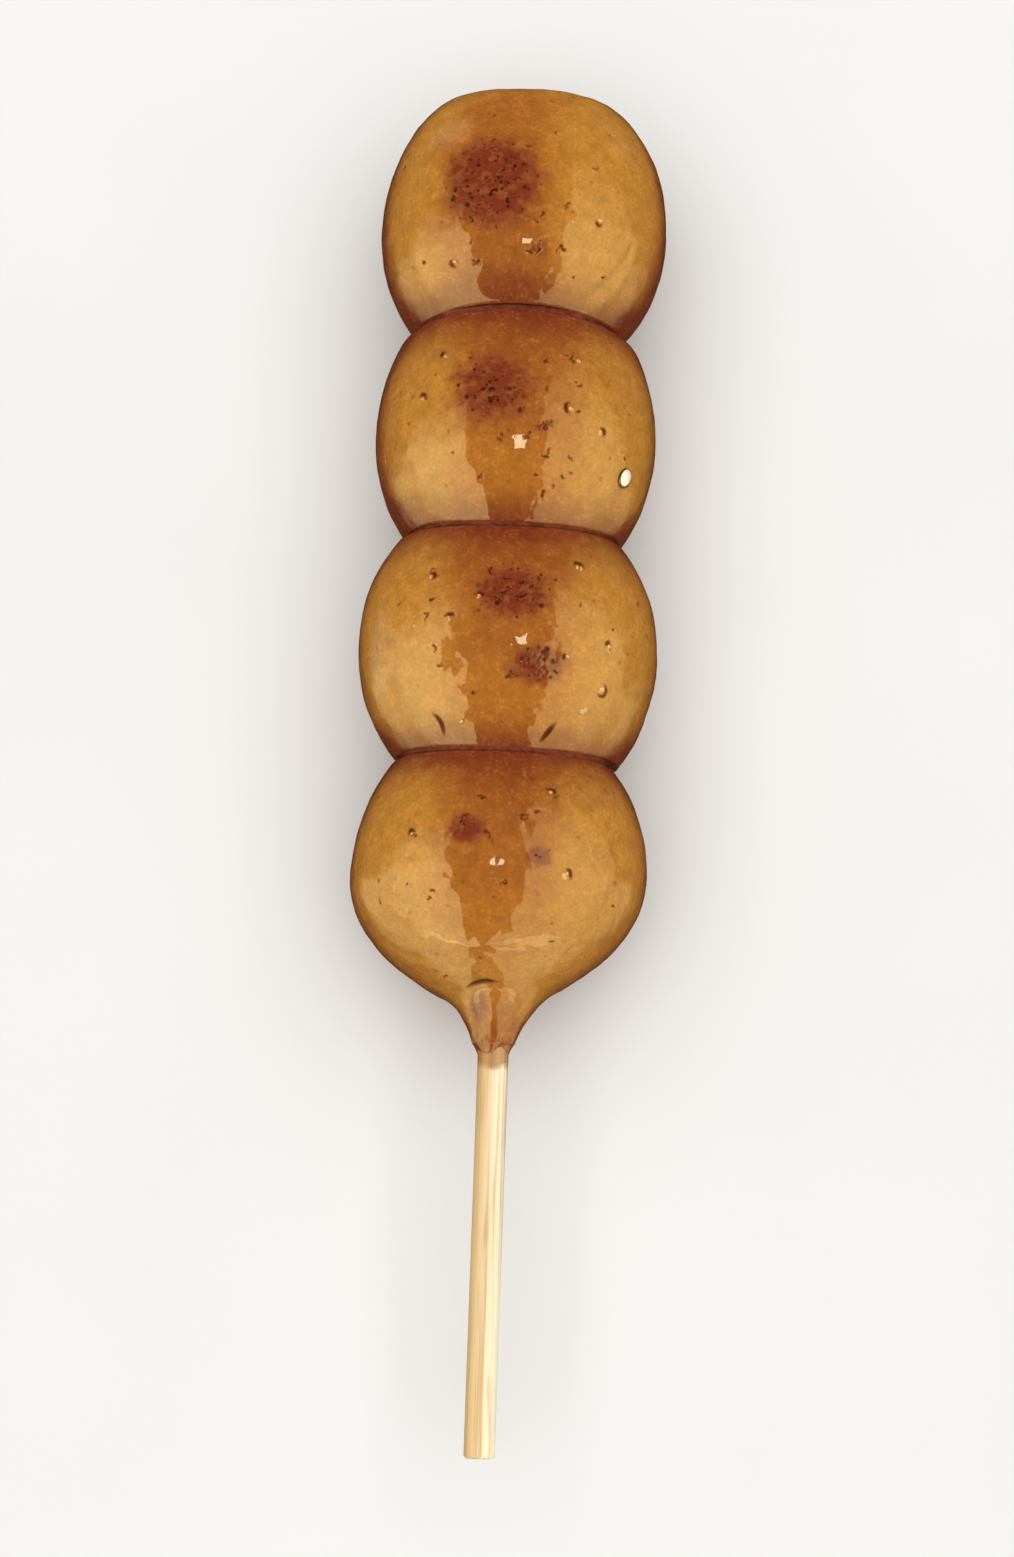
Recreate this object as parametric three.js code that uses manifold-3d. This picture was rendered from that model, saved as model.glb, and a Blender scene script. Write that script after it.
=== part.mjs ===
// A dango skewer lying on a table: four rice dumplings, glazed with soy and sugar syrup, on a
// round bamboo stick.
// Millimetres, +Z up. +Y runs along the stick, from the bare handle towards the first dumpling.
// The origin is on the table, below the middle of the whole skewer.
import * as THREE from "three";
import { mergeVertices } from "three/addons/utils/BufferGeometryUtils.js";
import Module from "manifold-3d";

const wasm = await Module();
wasm.setup();

// The stick: a turned round of bamboo, sharpened at the end that the dumplings were pushed onto.
const STICK_LENGTH = 150;
const STICK_RADIUS = 1.75;
const POINT_LENGTH = 11;
const POINT_RADIUS = 0.6;
const HANDLE_CHAMFER = 0.45;
const STICK_SIDES = 24;
const STICK_GAP = 0.3; // between the stick and the dumplings it runs through

// The dumplings, as they are squashed together on the stick and sagging on the table.
const AXIS_HEIGHT = 13.2; // of the stick above the table
const CONTACT_GAP = 0.3; // between the flat faces of two neighbours
const CONTACT_ROUND = 0.9; // how softly a side turns into a flat contact face
const END_ROUND = 1.2; // how softly the first dumpling's end turns into its pressed flat
const TABLE_ROUND = 0.8; // how softly a side turns into the flat that it rests on
const TIP_COVER = 6.5; // dough beyond the point of the stick
const BELLY = 15.2; // how far a dumpling would reach below the stick if nothing held it up
const SECTION_POWER = 2.25; // of the cross-section: 2 is an ellipse, and more is squarer
const RINGS = 30;
const SIDES = 46;

// How fast a dumpling narrows towards an end: 0.5 is an ellipsoid, less is blunter, and more is
// more pointed.
const PRESSED_TAPER = 0.5;
const FRONT_END_TAPER = 0.32;
const BACK_END_TAPER = 0.8;

// Each dumpling, counted from the point of the stick.
//   front, back: how far it reaches from its widest section, to the tip's side and the handle's
//   frontSwell, backSwell: the half length that it would have if nothing pressed it flat
//   width: across; crown: its height above the stick
//   shift: its centre, to the right of the stick
const DUMPLINGS = [
  { front: 16.2, back: 11.4, frontSwell: 17.2, backSwell: 17.4, width: 33.8, crown: 14.3, shift: 0.3 },
  { front: 13.4, back: 12.2, frontSwell: 20.0, backSwell: 18.4, width: 32.8, crown: 13.9, shift: 0.0 },
  { front: 12.8, back: 13.0, frontSwell: 18.8, backSwell: 19.4, width: 34.0, crown: 14.4, shift: 0.2 },
  { front: 13.2, back: 15.6, frontSwell: 19.6, backSwell: 15.6, width: 33.2, crown: 14.0, shift: -0.1 },
];

// Hand-rolled unevenness: a few slow waves over each dumpling, each with its own direction, and
// each quicker and lower than the one before it.
const WAVES = 5;
const WAVE_DEPTH = 0.25;
const WAVE_PACE = 2.2; // radians of the first wave in one radius of the dumpling
const WAVE_QUICKENING = 0.7;
const WAVE_FADING = 0.5;
const GOLDEN_ANGLE = Math.PI * (3 - Math.sqrt(5));

// The syrup that runs from the last dumpling onto the stick, as a flared collar.
const COLLAR_LENGTH = 3.0; // along the stick, past the end of the dumpling
const COLLAR_RIM_RADIUS = 2.5;
const COLLAR_WIDENING = 3.5; // from the rim's radius, over COLLAR_DEPTH
const COLLAR_DEPTH = 5.4;
const COLLAR_FLARE = 1.5; // 1 is a cone, and more is a wider trumpet
const COLLAR_FALL = 0.8; // how fast it falls away further out, so that it ends in the dumpling
const COLLAR_ROUND = 1.2; // how softly it turns into the dumpling

const material = (color, roughness) =>
  new THREE.MeshStandardMaterial({ color, roughness, metalness: 0 });
const glazedDough = material("#b87a36", 0.25);
const bamboo = material("#e3c98d", 0.6);

// A closed geometry as a manifold-3d solid.
function solidOf(geometry) {
  const bare = geometry.index ? geometry.toNonIndexed() : geometry.clone();
  bare.deleteAttribute("normal");
  bare.deleteAttribute("uv");
  const merged = mergeVertices(bare, 1e-4);
  return new wasm.Manifold(
    new wasm.Mesh({
      numProp: 3,
      vertProperties: merged.attributes.position.array,
      triVerts: new Uint32Array(merged.index.array),
    }),
  );
}

// A manifold-3d solid as a geometry.
function geometryOf(solid) {
  const mesh = solid.getMesh();
  const geometry = new THREE.BufferGeometry();
  geometry.setAttribute("position", new THREE.BufferAttribute(mesh.vertProperties, 3));
  geometry.setIndex(new THREE.BufferAttribute(mesh.triVerts, 1));
  geometry.computeVertexNormals();
  return geometry;
}

// value, levelled off softly so that it never passes limit.
function levelOff(value, limit, round) {
  const over = value - (limit - round);
  if (over <= 0) return value;
  return over >= 2 * round ? limit : value - (over * over) / (4 * round);
}

// The larger of two values, with a soft turn from one to the other.
function softMax(a, b, round) {
  const near = Math.max(round - Math.abs(a - b), 0);
  return Math.max(a, b) + (near * near) / (4 * round);
}

// How far the surface of a dumpling stands proud in one direction, from its slow waves.
function unevenness(direction, index) {
  let sum = 0;
  for (let wave = 0; wave < WAVES; wave++) {
    const turn = GOLDEN_ANGLE * (1 + wave + WAVES * index);
    const lift = -1 + (2 * (wave + 0.5)) / WAVES;
    const level = Math.sqrt(1 - lift * lift);
    const along = direction.x * level * Math.cos(turn) + direction.y * lift
      + direction.z * level * Math.sin(turn);
    const pace = WAVE_PACE + WAVE_QUICKENING * wave;
    sum += Math.sin(pace * along + 2 * turn) / (1 + WAVE_FADING * wave);
  }
  return WAVE_DEPTH * sum;
}

// How far behind the last dumpling's widest section the collar reaches, at a radius round the stick.
function collarReach(radius, dumpling) {
  const widened = Math.max(radius - COLLAR_RIM_RADIUS, 0) / COLLAR_WIDENING;
  const depth = COLLAR_DEPTH * widened ** (1 / COLLAR_FLARE) + COLLAR_FALL * widened ** 2;
  return dumpling.back + COLLAR_LENGTH - depth;
}

// The point of a dumpling's surface that lies in one direction from its centre.
function dumplingPoint(direction, dumpling, index) {
  const first = index === 0;
  const last = index === DUMPLINGS.length - 1;
  const front = direction.y > 0;
  const across = Math.abs(direction.x / (dumpling.width / 2)) ** SECTION_POWER;
  const upright = Math.abs(direction.z / (direction.z > 0 ? dumpling.crown : BELLY)) ** SECTION_POWER;
  const section = (across + upright + Number.EPSILON) ** (-1 / SECTION_POWER);
  let taper = PRESSED_TAPER;
  if (front && first) taper = FRONT_END_TAPER;
  if (!front && last) taper = BACK_END_TAPER;
  const spread = section * Math.hypot(direction.x, direction.z) ** (2 * taper);
  const swell = front ? dumpling.frontSwell : dumpling.backSwell;
  const point = direction.clone().multiply(new THREE.Vector3(spread, swell, spread));
  point.addScaledVector(direction, unevenness(direction, index));

  const gap = CONTACT_GAP / 2;
  if (front && first) point.y = levelOff(point.y, dumpling.front, END_ROUND);
  else if (front) point.y = levelOff(point.y, dumpling.front - gap, CONTACT_ROUND);
  else if (!last) point.y = -levelOff(-point.y, dumpling.back - gap, CONTACT_ROUND);
  else {
    const radius = Math.hypot(point.x + dumpling.shift, point.z);
    point.y = -softMax(-point.y, collarReach(radius, dumpling), COLLAR_ROUND);
  }
  point.z = -levelOff(-point.z, AXIS_HEIGHT, TABLE_ROUND);
  return point;
}

// One dumpling, whole, round the middle of its widest section. Its poles are on the stick's axis.
function dumplingGeometry(dumpling, index) {
  const geometry = new THREE.SphereGeometry(1, SIDES, RINGS);
  const position = geometry.attributes.position;
  const direction = new THREE.Vector3();
  for (let i = 0; i < position.count; i++) {
    direction.fromBufferAttribute(position, i).normalize();
    position.setXYZ(i, ...dumplingPoint(direction, dumpling, index).toArray());
  }
  return geometry;
}

// The stick, or with a gap the hole that it needs. Its point is at the top of the lathe's axis.
function stickGeometry(gap) {
  const radius = STICK_RADIUS + gap;
  const profile = [
    [0, -STICK_LENGTH - gap],
    [radius - HANDLE_CHAMFER, -STICK_LENGTH - gap],
    [radius, -STICK_LENGTH - gap + HANDLE_CHAMFER],
    [radius, -POINT_LENGTH],
    [POINT_RADIUS + gap, -POINT_RADIUS],
    [POINT_RADIUS / 2 + gap, gap],
    [0, gap],
  ].map(([x, y]) => new THREE.Vector2(x, y));
  return new THREE.LatheGeometry(profile, STICK_SIDES);
}

const skewer = new THREE.Group();

const stick = new THREE.Mesh(stickGeometry(0), bamboo);
stick.name = "stick";
stick.position.y = -TIP_COVER;
skewer.add(stick);

// The first dumpling's front end is at 0, and each next one starts where the last one ends.
const hole = solidOf(stickGeometry(STICK_GAP)).translate([0, -TIP_COVER, 0]);
let reached = 0;
DUMPLINGS.forEach((dumpling, index) => {
  const place = [dumpling.shift, reached - dumpling.front, 0];
  const whole = solidOf(dumplingGeometry(dumpling, index)).translate(place);
  const mesh = new THREE.Mesh(geometryOf(whole.subtract(hole)), glazedDough);
  mesh.name = `dumpling_${index + 1}`;
  skewer.add(mesh);
  reached -= dumpling.front + dumpling.back;
});

// The middle of the whole skewer goes over the origin, with its flats on the table.
const box = new THREE.Box3().setFromObject(skewer);
const middle = box.getCenter(new THREE.Vector3());
skewer.position.set(-middle.x, -middle.y, AXIS_HEIGHT);

export default skewer;
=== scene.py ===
"""A glazed dango skewer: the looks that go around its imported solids.

Four rice dumplings are pressed together on a bamboo stick, scorched in spots on top, and coated
with a thick soy and sugar syrup that pools in the creases and runs down onto the stick.

Blender objects are in metres in the row's frame: +Y runs along the stick towards the first
dumpling, and +Z is up from the table. The sizes in the classes are in millimetres, except the
studio's and its lights', which are in metres.
"""

from __future__ import annotations

import sys

import logging
import math
import random
from dataclasses import dataclass
from enum import Enum

import bmesh
import bpy
from mathutils import Matrix, Vector, noise
from mathutils.bvhtree import BVHTree
from mathutils.kdtree import KDTree


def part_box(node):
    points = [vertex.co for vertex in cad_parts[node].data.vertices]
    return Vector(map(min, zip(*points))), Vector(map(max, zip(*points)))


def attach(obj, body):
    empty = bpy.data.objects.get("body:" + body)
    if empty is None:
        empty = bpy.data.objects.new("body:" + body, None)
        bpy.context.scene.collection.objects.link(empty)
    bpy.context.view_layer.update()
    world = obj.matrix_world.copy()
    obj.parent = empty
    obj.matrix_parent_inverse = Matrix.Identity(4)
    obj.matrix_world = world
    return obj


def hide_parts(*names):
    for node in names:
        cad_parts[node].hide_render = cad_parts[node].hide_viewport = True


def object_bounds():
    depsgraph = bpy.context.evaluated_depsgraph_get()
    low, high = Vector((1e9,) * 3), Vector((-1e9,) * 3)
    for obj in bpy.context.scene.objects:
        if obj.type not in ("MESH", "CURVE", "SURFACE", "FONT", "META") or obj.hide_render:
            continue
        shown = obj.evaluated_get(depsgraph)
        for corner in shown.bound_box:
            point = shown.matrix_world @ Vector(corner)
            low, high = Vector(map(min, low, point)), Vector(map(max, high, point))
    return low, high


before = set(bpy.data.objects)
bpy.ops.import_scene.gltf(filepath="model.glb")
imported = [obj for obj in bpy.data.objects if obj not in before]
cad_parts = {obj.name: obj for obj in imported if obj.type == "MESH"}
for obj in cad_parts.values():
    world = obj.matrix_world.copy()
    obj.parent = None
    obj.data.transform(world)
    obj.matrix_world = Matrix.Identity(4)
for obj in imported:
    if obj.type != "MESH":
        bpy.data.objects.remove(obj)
CAD_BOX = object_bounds()

logging.basicConfig(level=logging.INFO, format="%(message)s")
LOG = logging.getLogger("dango_skewer")

MM = 0.001  # metres in a millimetre
GOLDEN_ANGLE = math.pi * (3 - math.sqrt(5))
UP = Vector((0.0, 0.0, 1.0))
BOW_AT = 10.0  # how far to the side of the stick a bent contact's bow is stated, in millimetres
RADIANCE_TO_WATTS = 4.0  # for each square metre of a rectangular light
Window = tuple[float, float]  # the value where an effect starts, and the one where it is full
Range = tuple[float, float]  # the least and the greatest value that a random draw gives
Zones = list[tuple[Vector, float]]  # the middle and the radius of each


class Slot(Enum):
    """The record's material slots."""

    DUMPLING = "glazed_dumpling"
    SYRUP = "syrup"
    BAMBOO = "bamboo"


class Field(Enum):
    """Point attributes that say where a finish changes, each from 0 to 1."""

    TOAST = "toast"  # browned by the grill from above
    SYRUP = "syrup_depth"  # syrup thicker than the plain coat
    SCORCH = "scorch"  # a scorched spot
    PIT = "pit"  # inside a nick
    PALE_CRUMB_AND_SHEEN = "pale_crumb_and_sheen"  # pale dough that shows through a thin glaze, as on a raised crumb, and painted sheen and glints
    CREVICE_SHADE = "crevice_shade"  # painted shade at the bottom of a narrow gap, and round the foot of an air bubble


def to_linear(hex_colour: str) -> tuple[float, float, float, float]:
    """Turns an sRGB hex colour to linear.

    Args:
        hex_colour: A colour such as "#b87a36".

    Returns:
        Linear red, green and blue, and an alpha of 1.
    """
    parts = [int(hex_colour[i : i + 2], 16) / 255 for i in (1, 3, 5)]
    red, green, blue = (p / 12.92 if p <= 0.04045 else ((p + 0.055) / 1.055) ** 2.4 for p in parts)
    return red, green, blue, 1.0


def smooth_step(low: float, high: float, value: float) -> float:
    """Eases from 0 at low to 1 at high.

    Args:
        low: Where the result leaves 0. It may be above high.
        high: Where the result reaches 1.
        value: The value to ease.

    Returns:
        A share from 0 to 1.
    """
    share = min(max((value - low) / (high - low), 0.0), 1.0)
    return share * share * (3 - 2 * share)


def level_off(value: float, limit: float, round_: float) -> float:
    """Levels a value off softly so that it never passes a limit.

    Args:
        value: The value to level.
        limit: What it never passes.
        round_: How far before the limit the turn starts.

    Returns:
        The levelled value.
    """
    over = value - (limit - round_)
    if over <= 0:
        return value
    return limit if over >= 2 * round_ else value - over * over / (4 * round_)


def soft_max(a: float, b: float, round_: float) -> float:
    """Takes the larger of two values, with a soft turn from one to the other.

    Args:
        a: One value.
        b: The other value.
        round_: The difference at which the turn starts.

    Returns:
        The larger value, a little more near the turn.
    """
    near = max(round_ - abs(a - b), 0.0)
    return max(a, b) + near * near / (4 * round_)


def set_inputs(tree: bpy.types.NodeTree, node: bpy.types.Node, inputs: dict) -> None:
    """Gives a node's inputs their values and links.

    Args:
        tree: The node tree.
        node: The node.
        inputs: Values, or sockets to link from, by the input's name or index.
    """
    for name, value in inputs.items():
        if isinstance(value, bpy.types.NodeSocket):
            tree.links.new(value, node.inputs[name])
        else:
            node.inputs[name].default_value = value


def add_node(tree: bpy.types.NodeTree, kind: str, settings: dict | None = None,
             inputs: dict | None = None) -> bpy.types.Node:
    """Adds a shader node with its settings, values and links.

    Args:
        tree: The node tree.
        kind: The node's type, such as "ShaderNodeMix".
        settings: Its properties by name.
        inputs: Values, or sockets to link from, by the input's name or index.

    Returns:
        The new node.
    """
    node = tree.nodes.new(kind)
    for name, value in (settings or {}).items():
        setattr(node, name, value)
    set_inputs(tree, node, inputs or {})
    return node


def new_material(name: str) -> tuple[bpy.types.Material, bpy.types.NodeTree, bpy.types.NodeSocket]:
    """Starts a node material.

    Args:
        name: What the material is and how its surface was made.

    Returns:
        The material, its node tree and the Object coordinates.
    """
    material = bpy.data.materials.new(name)
    material.use_nodes = True
    tree = material.node_tree
    return material, tree, add_node(tree, "ShaderNodeTexCoord").outputs["Object"]


def finish_material(material: bpy.types.Material, inputs: dict) -> bpy.types.Material:
    """Sets the Principled shader of a material.

    Args:
        material: The material.
        inputs: The shader's values, or sockets to link from, by the input's name.

    Returns:
        The same material.
    """
    tree = material.node_tree
    set_inputs(tree, tree.nodes["Principled BSDF"], inputs)
    return material


@dataclass(frozen=True)
class Coat:
    """A colour laid over the ones before it, where one or more amounts are high enough.

    Each amount has its name, the value at which the colour starts to show, and the value at which
    it covers most. The second value may be the lower one.
    """

    colour: str
    where: tuple[tuple[str, float, float], ...]
    cover: float = 1.0


def lay_coats(tree: bpy.types.NodeTree, ground: str, coats: tuple[Coat, ...],
              amounts: dict[str, bpy.types.NodeSocket]) -> bpy.types.NodeSocket:
    """Lays coats of colour over a ground, one after the other.

    Args:
        tree: The material's node tree.
        ground: The colour under all of them.
        coats: The coats, the lowest one first.
        amounts: What their windows look at, by name.

    Returns:
        The colour on top.
    """
    colour = to_linear(ground)
    for coat in coats:
        share = coat.cover
        for name, low, high in coat.where:
            eased = add_node(tree, "ShaderNodeMapRange", {"interpolation_type": "SMOOTHSTEP"},
                             {"Value": amounts[name], "From Min": low, "From Max": high})
            both = add_node(tree, "ShaderNodeMath", {"operation": "MULTIPLY"},
                            {0: eased.outputs["Result"], 1: share})
            share = both.outputs[0]
        laid = add_node(tree, "ShaderNodeMix", {"data_type": "RGBA"},
                        {0: share, 6: colour, 7: to_linear(coat.colour)})
        colour = laid.outputs[2]
    return colour


def make_object(bm: bmesh.types.BMesh, name: str, material: bpy.types.Material) -> bpy.types.Object:
    """Makes a smooth object and puts it in the scene.

    Args:
        bm: Its shape, in metres and in place. It is freed.
        name: Its name.
        material: Its finish.

    Returns:
        The object.
    """
    for face in bm.faces:
        face.smooth = True
    mesh = bpy.data.meshes.new(name)
    bm.to_mesh(mesh)
    bm.free()
    mesh.materials.append(material)
    made = bpy.data.objects.new(name, mesh)
    bpy.context.scene.collection.objects.link(made)
    return made


def hand_over(bm: bmesh.types.BMesh, name: str, material: bpy.types.Material,
              replaced: tuple[str, ...] = ()) -> None:
    """Makes a finished piece that rides on the one body.

    Args:
        bm: The piece's shape, in metres and in place. It is freed.
        name: The piece's name.
        material: Its finish.
        replaced: CAD nodes that it stands for.
    """
    piece = make_object(bm, name, material)
    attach(piece, "root")
    if replaced:
        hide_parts(*replaced)
    LOG.info("%s: %d faces, replaces %s", name, len(piece.data.polygons), list(replaced) or "nothing")


def vert_finder(bm: bmesh.types.BMesh) -> KDTree:
    """Makes a search tree over a shape's vertices.

    Args:
        bm: The shape.

    Returns:
        The tree, which finds vertices by their index.
    """
    bm.verts.index_update()
    finder = KDTree(len(bm.verts))
    for vert in bm.verts:
        finder.insert(vert.co, vert.index)
    finder.balance()
    return finder


@dataclass(frozen=True)
class GlazedDough:
    """Steamed rice dough, toasted under a grill and dipped in soy and sugar syrup.

    The dough is pale and lets light in, the syrup over it is a clear amber coat, and both together
    look golden where the coat is thin and reddish brown where it pools.
    """

    golden: str = "#bc8030"
    coats: tuple[Coat, ...] = (
        Coat("#b16b22", (("browning", 0.5, 1.4),)),  # amber, where the grill has toasted it
        Coat("#7b311b", (("pooling", 0.2, 1.15),)),  # thick reddish syrup
        Coat("#d9a85e", (("grain", 0.48, 0.75), ("blotch", 0.4, 0.6)), 0.12),  # grains of dough
        Coat("#944e28", (("spot", 0.45, 1.0),), 0.9),  # scorched a little
        Coat("#792d16", (("spot", 0.5, 1.15), ("blotch", 0.32, 0.54)), 0.95),  # scorched more
        Coat("#a8683e", (("crumbs", 0.3, 0.12), ("spot", 0.5, 1.15), ("grain", 0.45, 0.6)), 0.4),
        Coat("#3c110a", (("pores", 0.8, 0.64), ("scorch", 0.4, 0.9), ("cloud", 0.42, 0.56)), 0.6),
        Coat("#7b3117", (("freckles", 0.14, 0.07), ("cloud", 0.42, 0.56)), 0.5),
        Coat("#e6be82", (("pale_crumb_and_sheen", 0.3, 0.9),), 0.85),  # pale dough, and painted sheen and glints
        Coat("#74360f", (("pit", 0.05, 0.5),), 0.6),  # syrup gathered round a nick
        Coat("#44140a", (("pit", 0.4, 0.9),), 0.9),  # the nick's bottom
        Coat("#2c0c07", (("pit", 0.3, 0.9), ("scorch", 0.4, 0.9)), 0.85),  # charred there
        # painted shade in the crease by a contact, strongest on the steep sides
        Coat("#34110a", (("crevice_shade", 0.2, 1.0),), 0.9),
    )
    noises: tuple[tuple[str, float, float], ...] = (  # each one's name, size in mm and detail
        ("cloud", 5.5, 3.0),  # patches of thinner and thicker syrup
        ("ragged", 1.1, 4.0),  # the tongues of a stain's edge
        ("blotch", 1.6, 2.0),  # faint blotches
        ("grain", 0.42, 2.0),  # the grain of the dough
        ("ripple", 1.7, 0.5),  # ripples in the set syrup
    )
    cells: tuple[tuple[str, float], ...] = (  # each one's name, and its size in mm
        ("pores", 0.8),  # between the dark pores of a scorched spot
        ("crumbs", 0.55),  # between its paler crumbs
        ("freckles", 2.4),  # between the freckles on plain dough
    )
    uneven: tuple[tuple[str, str, str, float], ...] = (  # an amount, what it was, and a noise's share
        ("browning", "toast", "cloud", 0.8),
        ("browning", "browning", "ragged", 0.2),
        ("pooling", "syrup_depth", "cloud", 0.3),
        ("pooling", "pooling", "ragged", 0.2),
        ("spot", "scorch", "ragged", 0.8),
        ("pores", "pores", "ragged", 0.3),
        ("pores", "pores", "blotch", 0.5),
        ("mottle", "grain", "blotch", 1.0),
    )
    light_depth_mm: float = 1.4  # how far light travels in the dough

    def amounts(self, tree: bpy.types.NodeTree,
                place: bpy.types.NodeSocket) -> dict[str, bpy.types.NodeSocket]:
        """Adds what the coats' windows look at.

        Args:
            tree: The material's node tree.
            place: The Object coordinates.

        Returns:
            The fields on the mesh, the noises and the mixtures of both, by name.
        """
        found = {}
        for entry in Field:
            read = add_node(tree, "ShaderNodeAttribute", {"attribute_name": entry.value})
            found[entry.value] = read.outputs["Fac"]
        for name, size_mm, detail in self.noises:
            noisy = add_node(tree, "ShaderNodeTexNoise", None,
                             {"Vector": place, "Scale": 1 / (size_mm * MM), "Detail": detail,
                              "Roughness": 0.55})
            found[name] = noisy.outputs["Fac"]
        for name, size_mm in self.cells:
            cell = add_node(tree, "ShaderNodeTexVoronoi", None,
                            {"Vector": place, "Scale": 1 / (size_mm * MM)})
            found[name] = cell.outputs["Distance"]
        for name, before, noisy, share in self.uneven:
            both = add_node(tree, "ShaderNodeMath", {"operation": "MULTIPLY_ADD"},
                            {0: found[noisy], 1: share, 2: found[before]})
            found[name] = both.outputs[0]
        return found

    def make(self) -> bpy.types.Material:
        """Makes the material from the fields on the mesh and from patterns on Object coordinates.

        Returns:
            The material.
        """
        material, tree, place = new_material("rice_dough_steamed_toasted_and_syrup_glazed")
        amounts = self.amounts(tree, place)
        mottle = add_node(tree, "ShaderNodeMapRange", None,
                          {"Value": amounts["mottle"], "From Min": 0.65, "From Max": 1.35,
                           "To Min": 0.8, "To Max": 1.2})
        colour = add_node(tree, "ShaderNodeHueSaturation", None,
                          {"Color": lay_coats(tree, self.golden, self.coats, amounts),
                           "Value": mottle.outputs["Result"]})
        ripple = add_node(tree, "ShaderNodeBump", None,
                          {"Height": amounts["ripple"], "Strength": 0.35, "Distance": 0.06 * MM})
        skin = add_node(tree, "ShaderNodeBump", None,
                        {"Height": amounts["grain"], "Strength": 0.5, "Distance": 0.04 * MM,
                         "Normal": ripple.outputs["Normal"]})
        whole = add_node(tree, "ShaderNodeMapRange", {"interpolation_type": "SMOOTHSTEP"},
                         {"Value": amounts["pit"], "From Min": 0.1, "From Max": 0.6,
                          "To Min": 1.0, "To Max": 0.25})
        return finish_material(material, {
            "Base Color": colour.outputs["Color"],
            "Normal": skin.outputs["Normal"],
            "Roughness": 0.42,
            "IOR": 1.4,
            "Specular IOR Level": 0.08,
            "Subsurface Weight": 0.3,
            "Subsurface Radius": (1.0, 0.45, 0.15),
            "Subsurface Scale": self.light_depth_mm * MM,
            "Coat Weight": whole.outputs["Result"],  # the glaze is torn in the nicks
            "Coat Normal": ripple.outputs["Normal"],
            "Coat Roughness": 0.015,
            "Coat IOR": 1.47,
        })


@dataclass(frozen=True)
class TurnedBamboo:
    """Pale moso bamboo, turned round and left bare: fine straight fibres in a creamy ground.

    Its left side, towards -X, is browner: painted shade, as if the stick were lit from the right.
    """

    pith: str = "#fbf1cf"
    coats: tuple[Coat, ...] = (
        Coat("#cda871", (("side", 0.8, -0.8),), 0.9),  # painted shade on the stick's left side
        Coat("#c79a5c", (("fibre", 0.46, 0.68),), 0.7),
        Coat("#a9793f", (("streak", 0.52, 0.74),), 0.45),
        Coat("#a3662a", (("wet", 0.6, 0.95),), 0.8),  # where syrup has crept along it
    )
    drawn: tuple[tuple[str, float, float, float], ...] = (  # a name, mm across, mm along, detail
        ("fibre", 0.26, 30.0, 3.0),
        ("streak", 1.2, 15.0, 2.0),
        ("blot", 1.8, 1.8, 2.0),
    )
    radius_mm: float = 1.75

    def make(self, middle: Vector) -> bpy.types.Material:
        """Makes the material, with its fibres along Y.

        Args:
            middle: The middle of the stick, in metres.

        Returns:
            The material.
        """
        material, tree, place = new_material("bamboo_turned_bare")
        amounts = {}
        for name, across_mm, along_mm, detail in self.drawn:
            scale = (1 / (across_mm * MM), 1 / (along_mm * MM), 1 / (across_mm * MM))
            long = add_node(tree, "ShaderNodeMapping", None, {"Vector": place, "Scale": scale})
            noisy = add_node(tree, "ShaderNodeTexNoise", None,
                             {"Vector": long.outputs["Vector"], "Scale": 1.0, "Detail": detail})
            amounts[name] = noisy.outputs["Fac"]
        radius = self.radius_mm * MM
        # painted shade: the amount 'side' grows towards the stick's left, -X
        sides = add_node(tree, "ShaderNodeSeparateXYZ", None, {0: place})
        across = add_node(tree, "ShaderNodeMath", {"operation": "MULTIPLY_ADD"},
                          {0: sides.outputs["X"], 1: 1 / radius, 2: -middle.x / radius})
        amounts["side"] = across.outputs[0]
        wetted = add_node(tree, "ShaderNodeAttribute", {"attribute_name": Field.SYRUP.value})
        crept = add_node(tree, "ShaderNodeMath", {"operation": "MULTIPLY_ADD"},
                         {0: amounts["blot"], 1: 0.6, 2: wetted.outputs["Fac"]})
        amounts["wet"] = crept.outputs[0]
        shine = add_node(tree, "ShaderNodeMapRange", None,
                         {"Value": amounts["wet"], "From Min": 0.6, "From Max": 0.95,
                          "To Min": 0.55, "To Max": 0.2})
        relief = add_node(tree, "ShaderNodeBump", None,
                          {"Height": amounts["fibre"], "Strength": 0.6, "Distance": 0.05 * MM})
        return finish_material(material, {
            "Base Color": lay_coats(tree, self.pith, self.coats, amounts),
            "Roughness": shine.outputs["Result"],
            "Normal": relief.outputs["Normal"],
            "Subsurface Weight": 0.1,
            "Subsurface Radius": (1.0, 0.6, 0.3),
            "Subsurface Scale": 0.5 * MM,
        })


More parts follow.
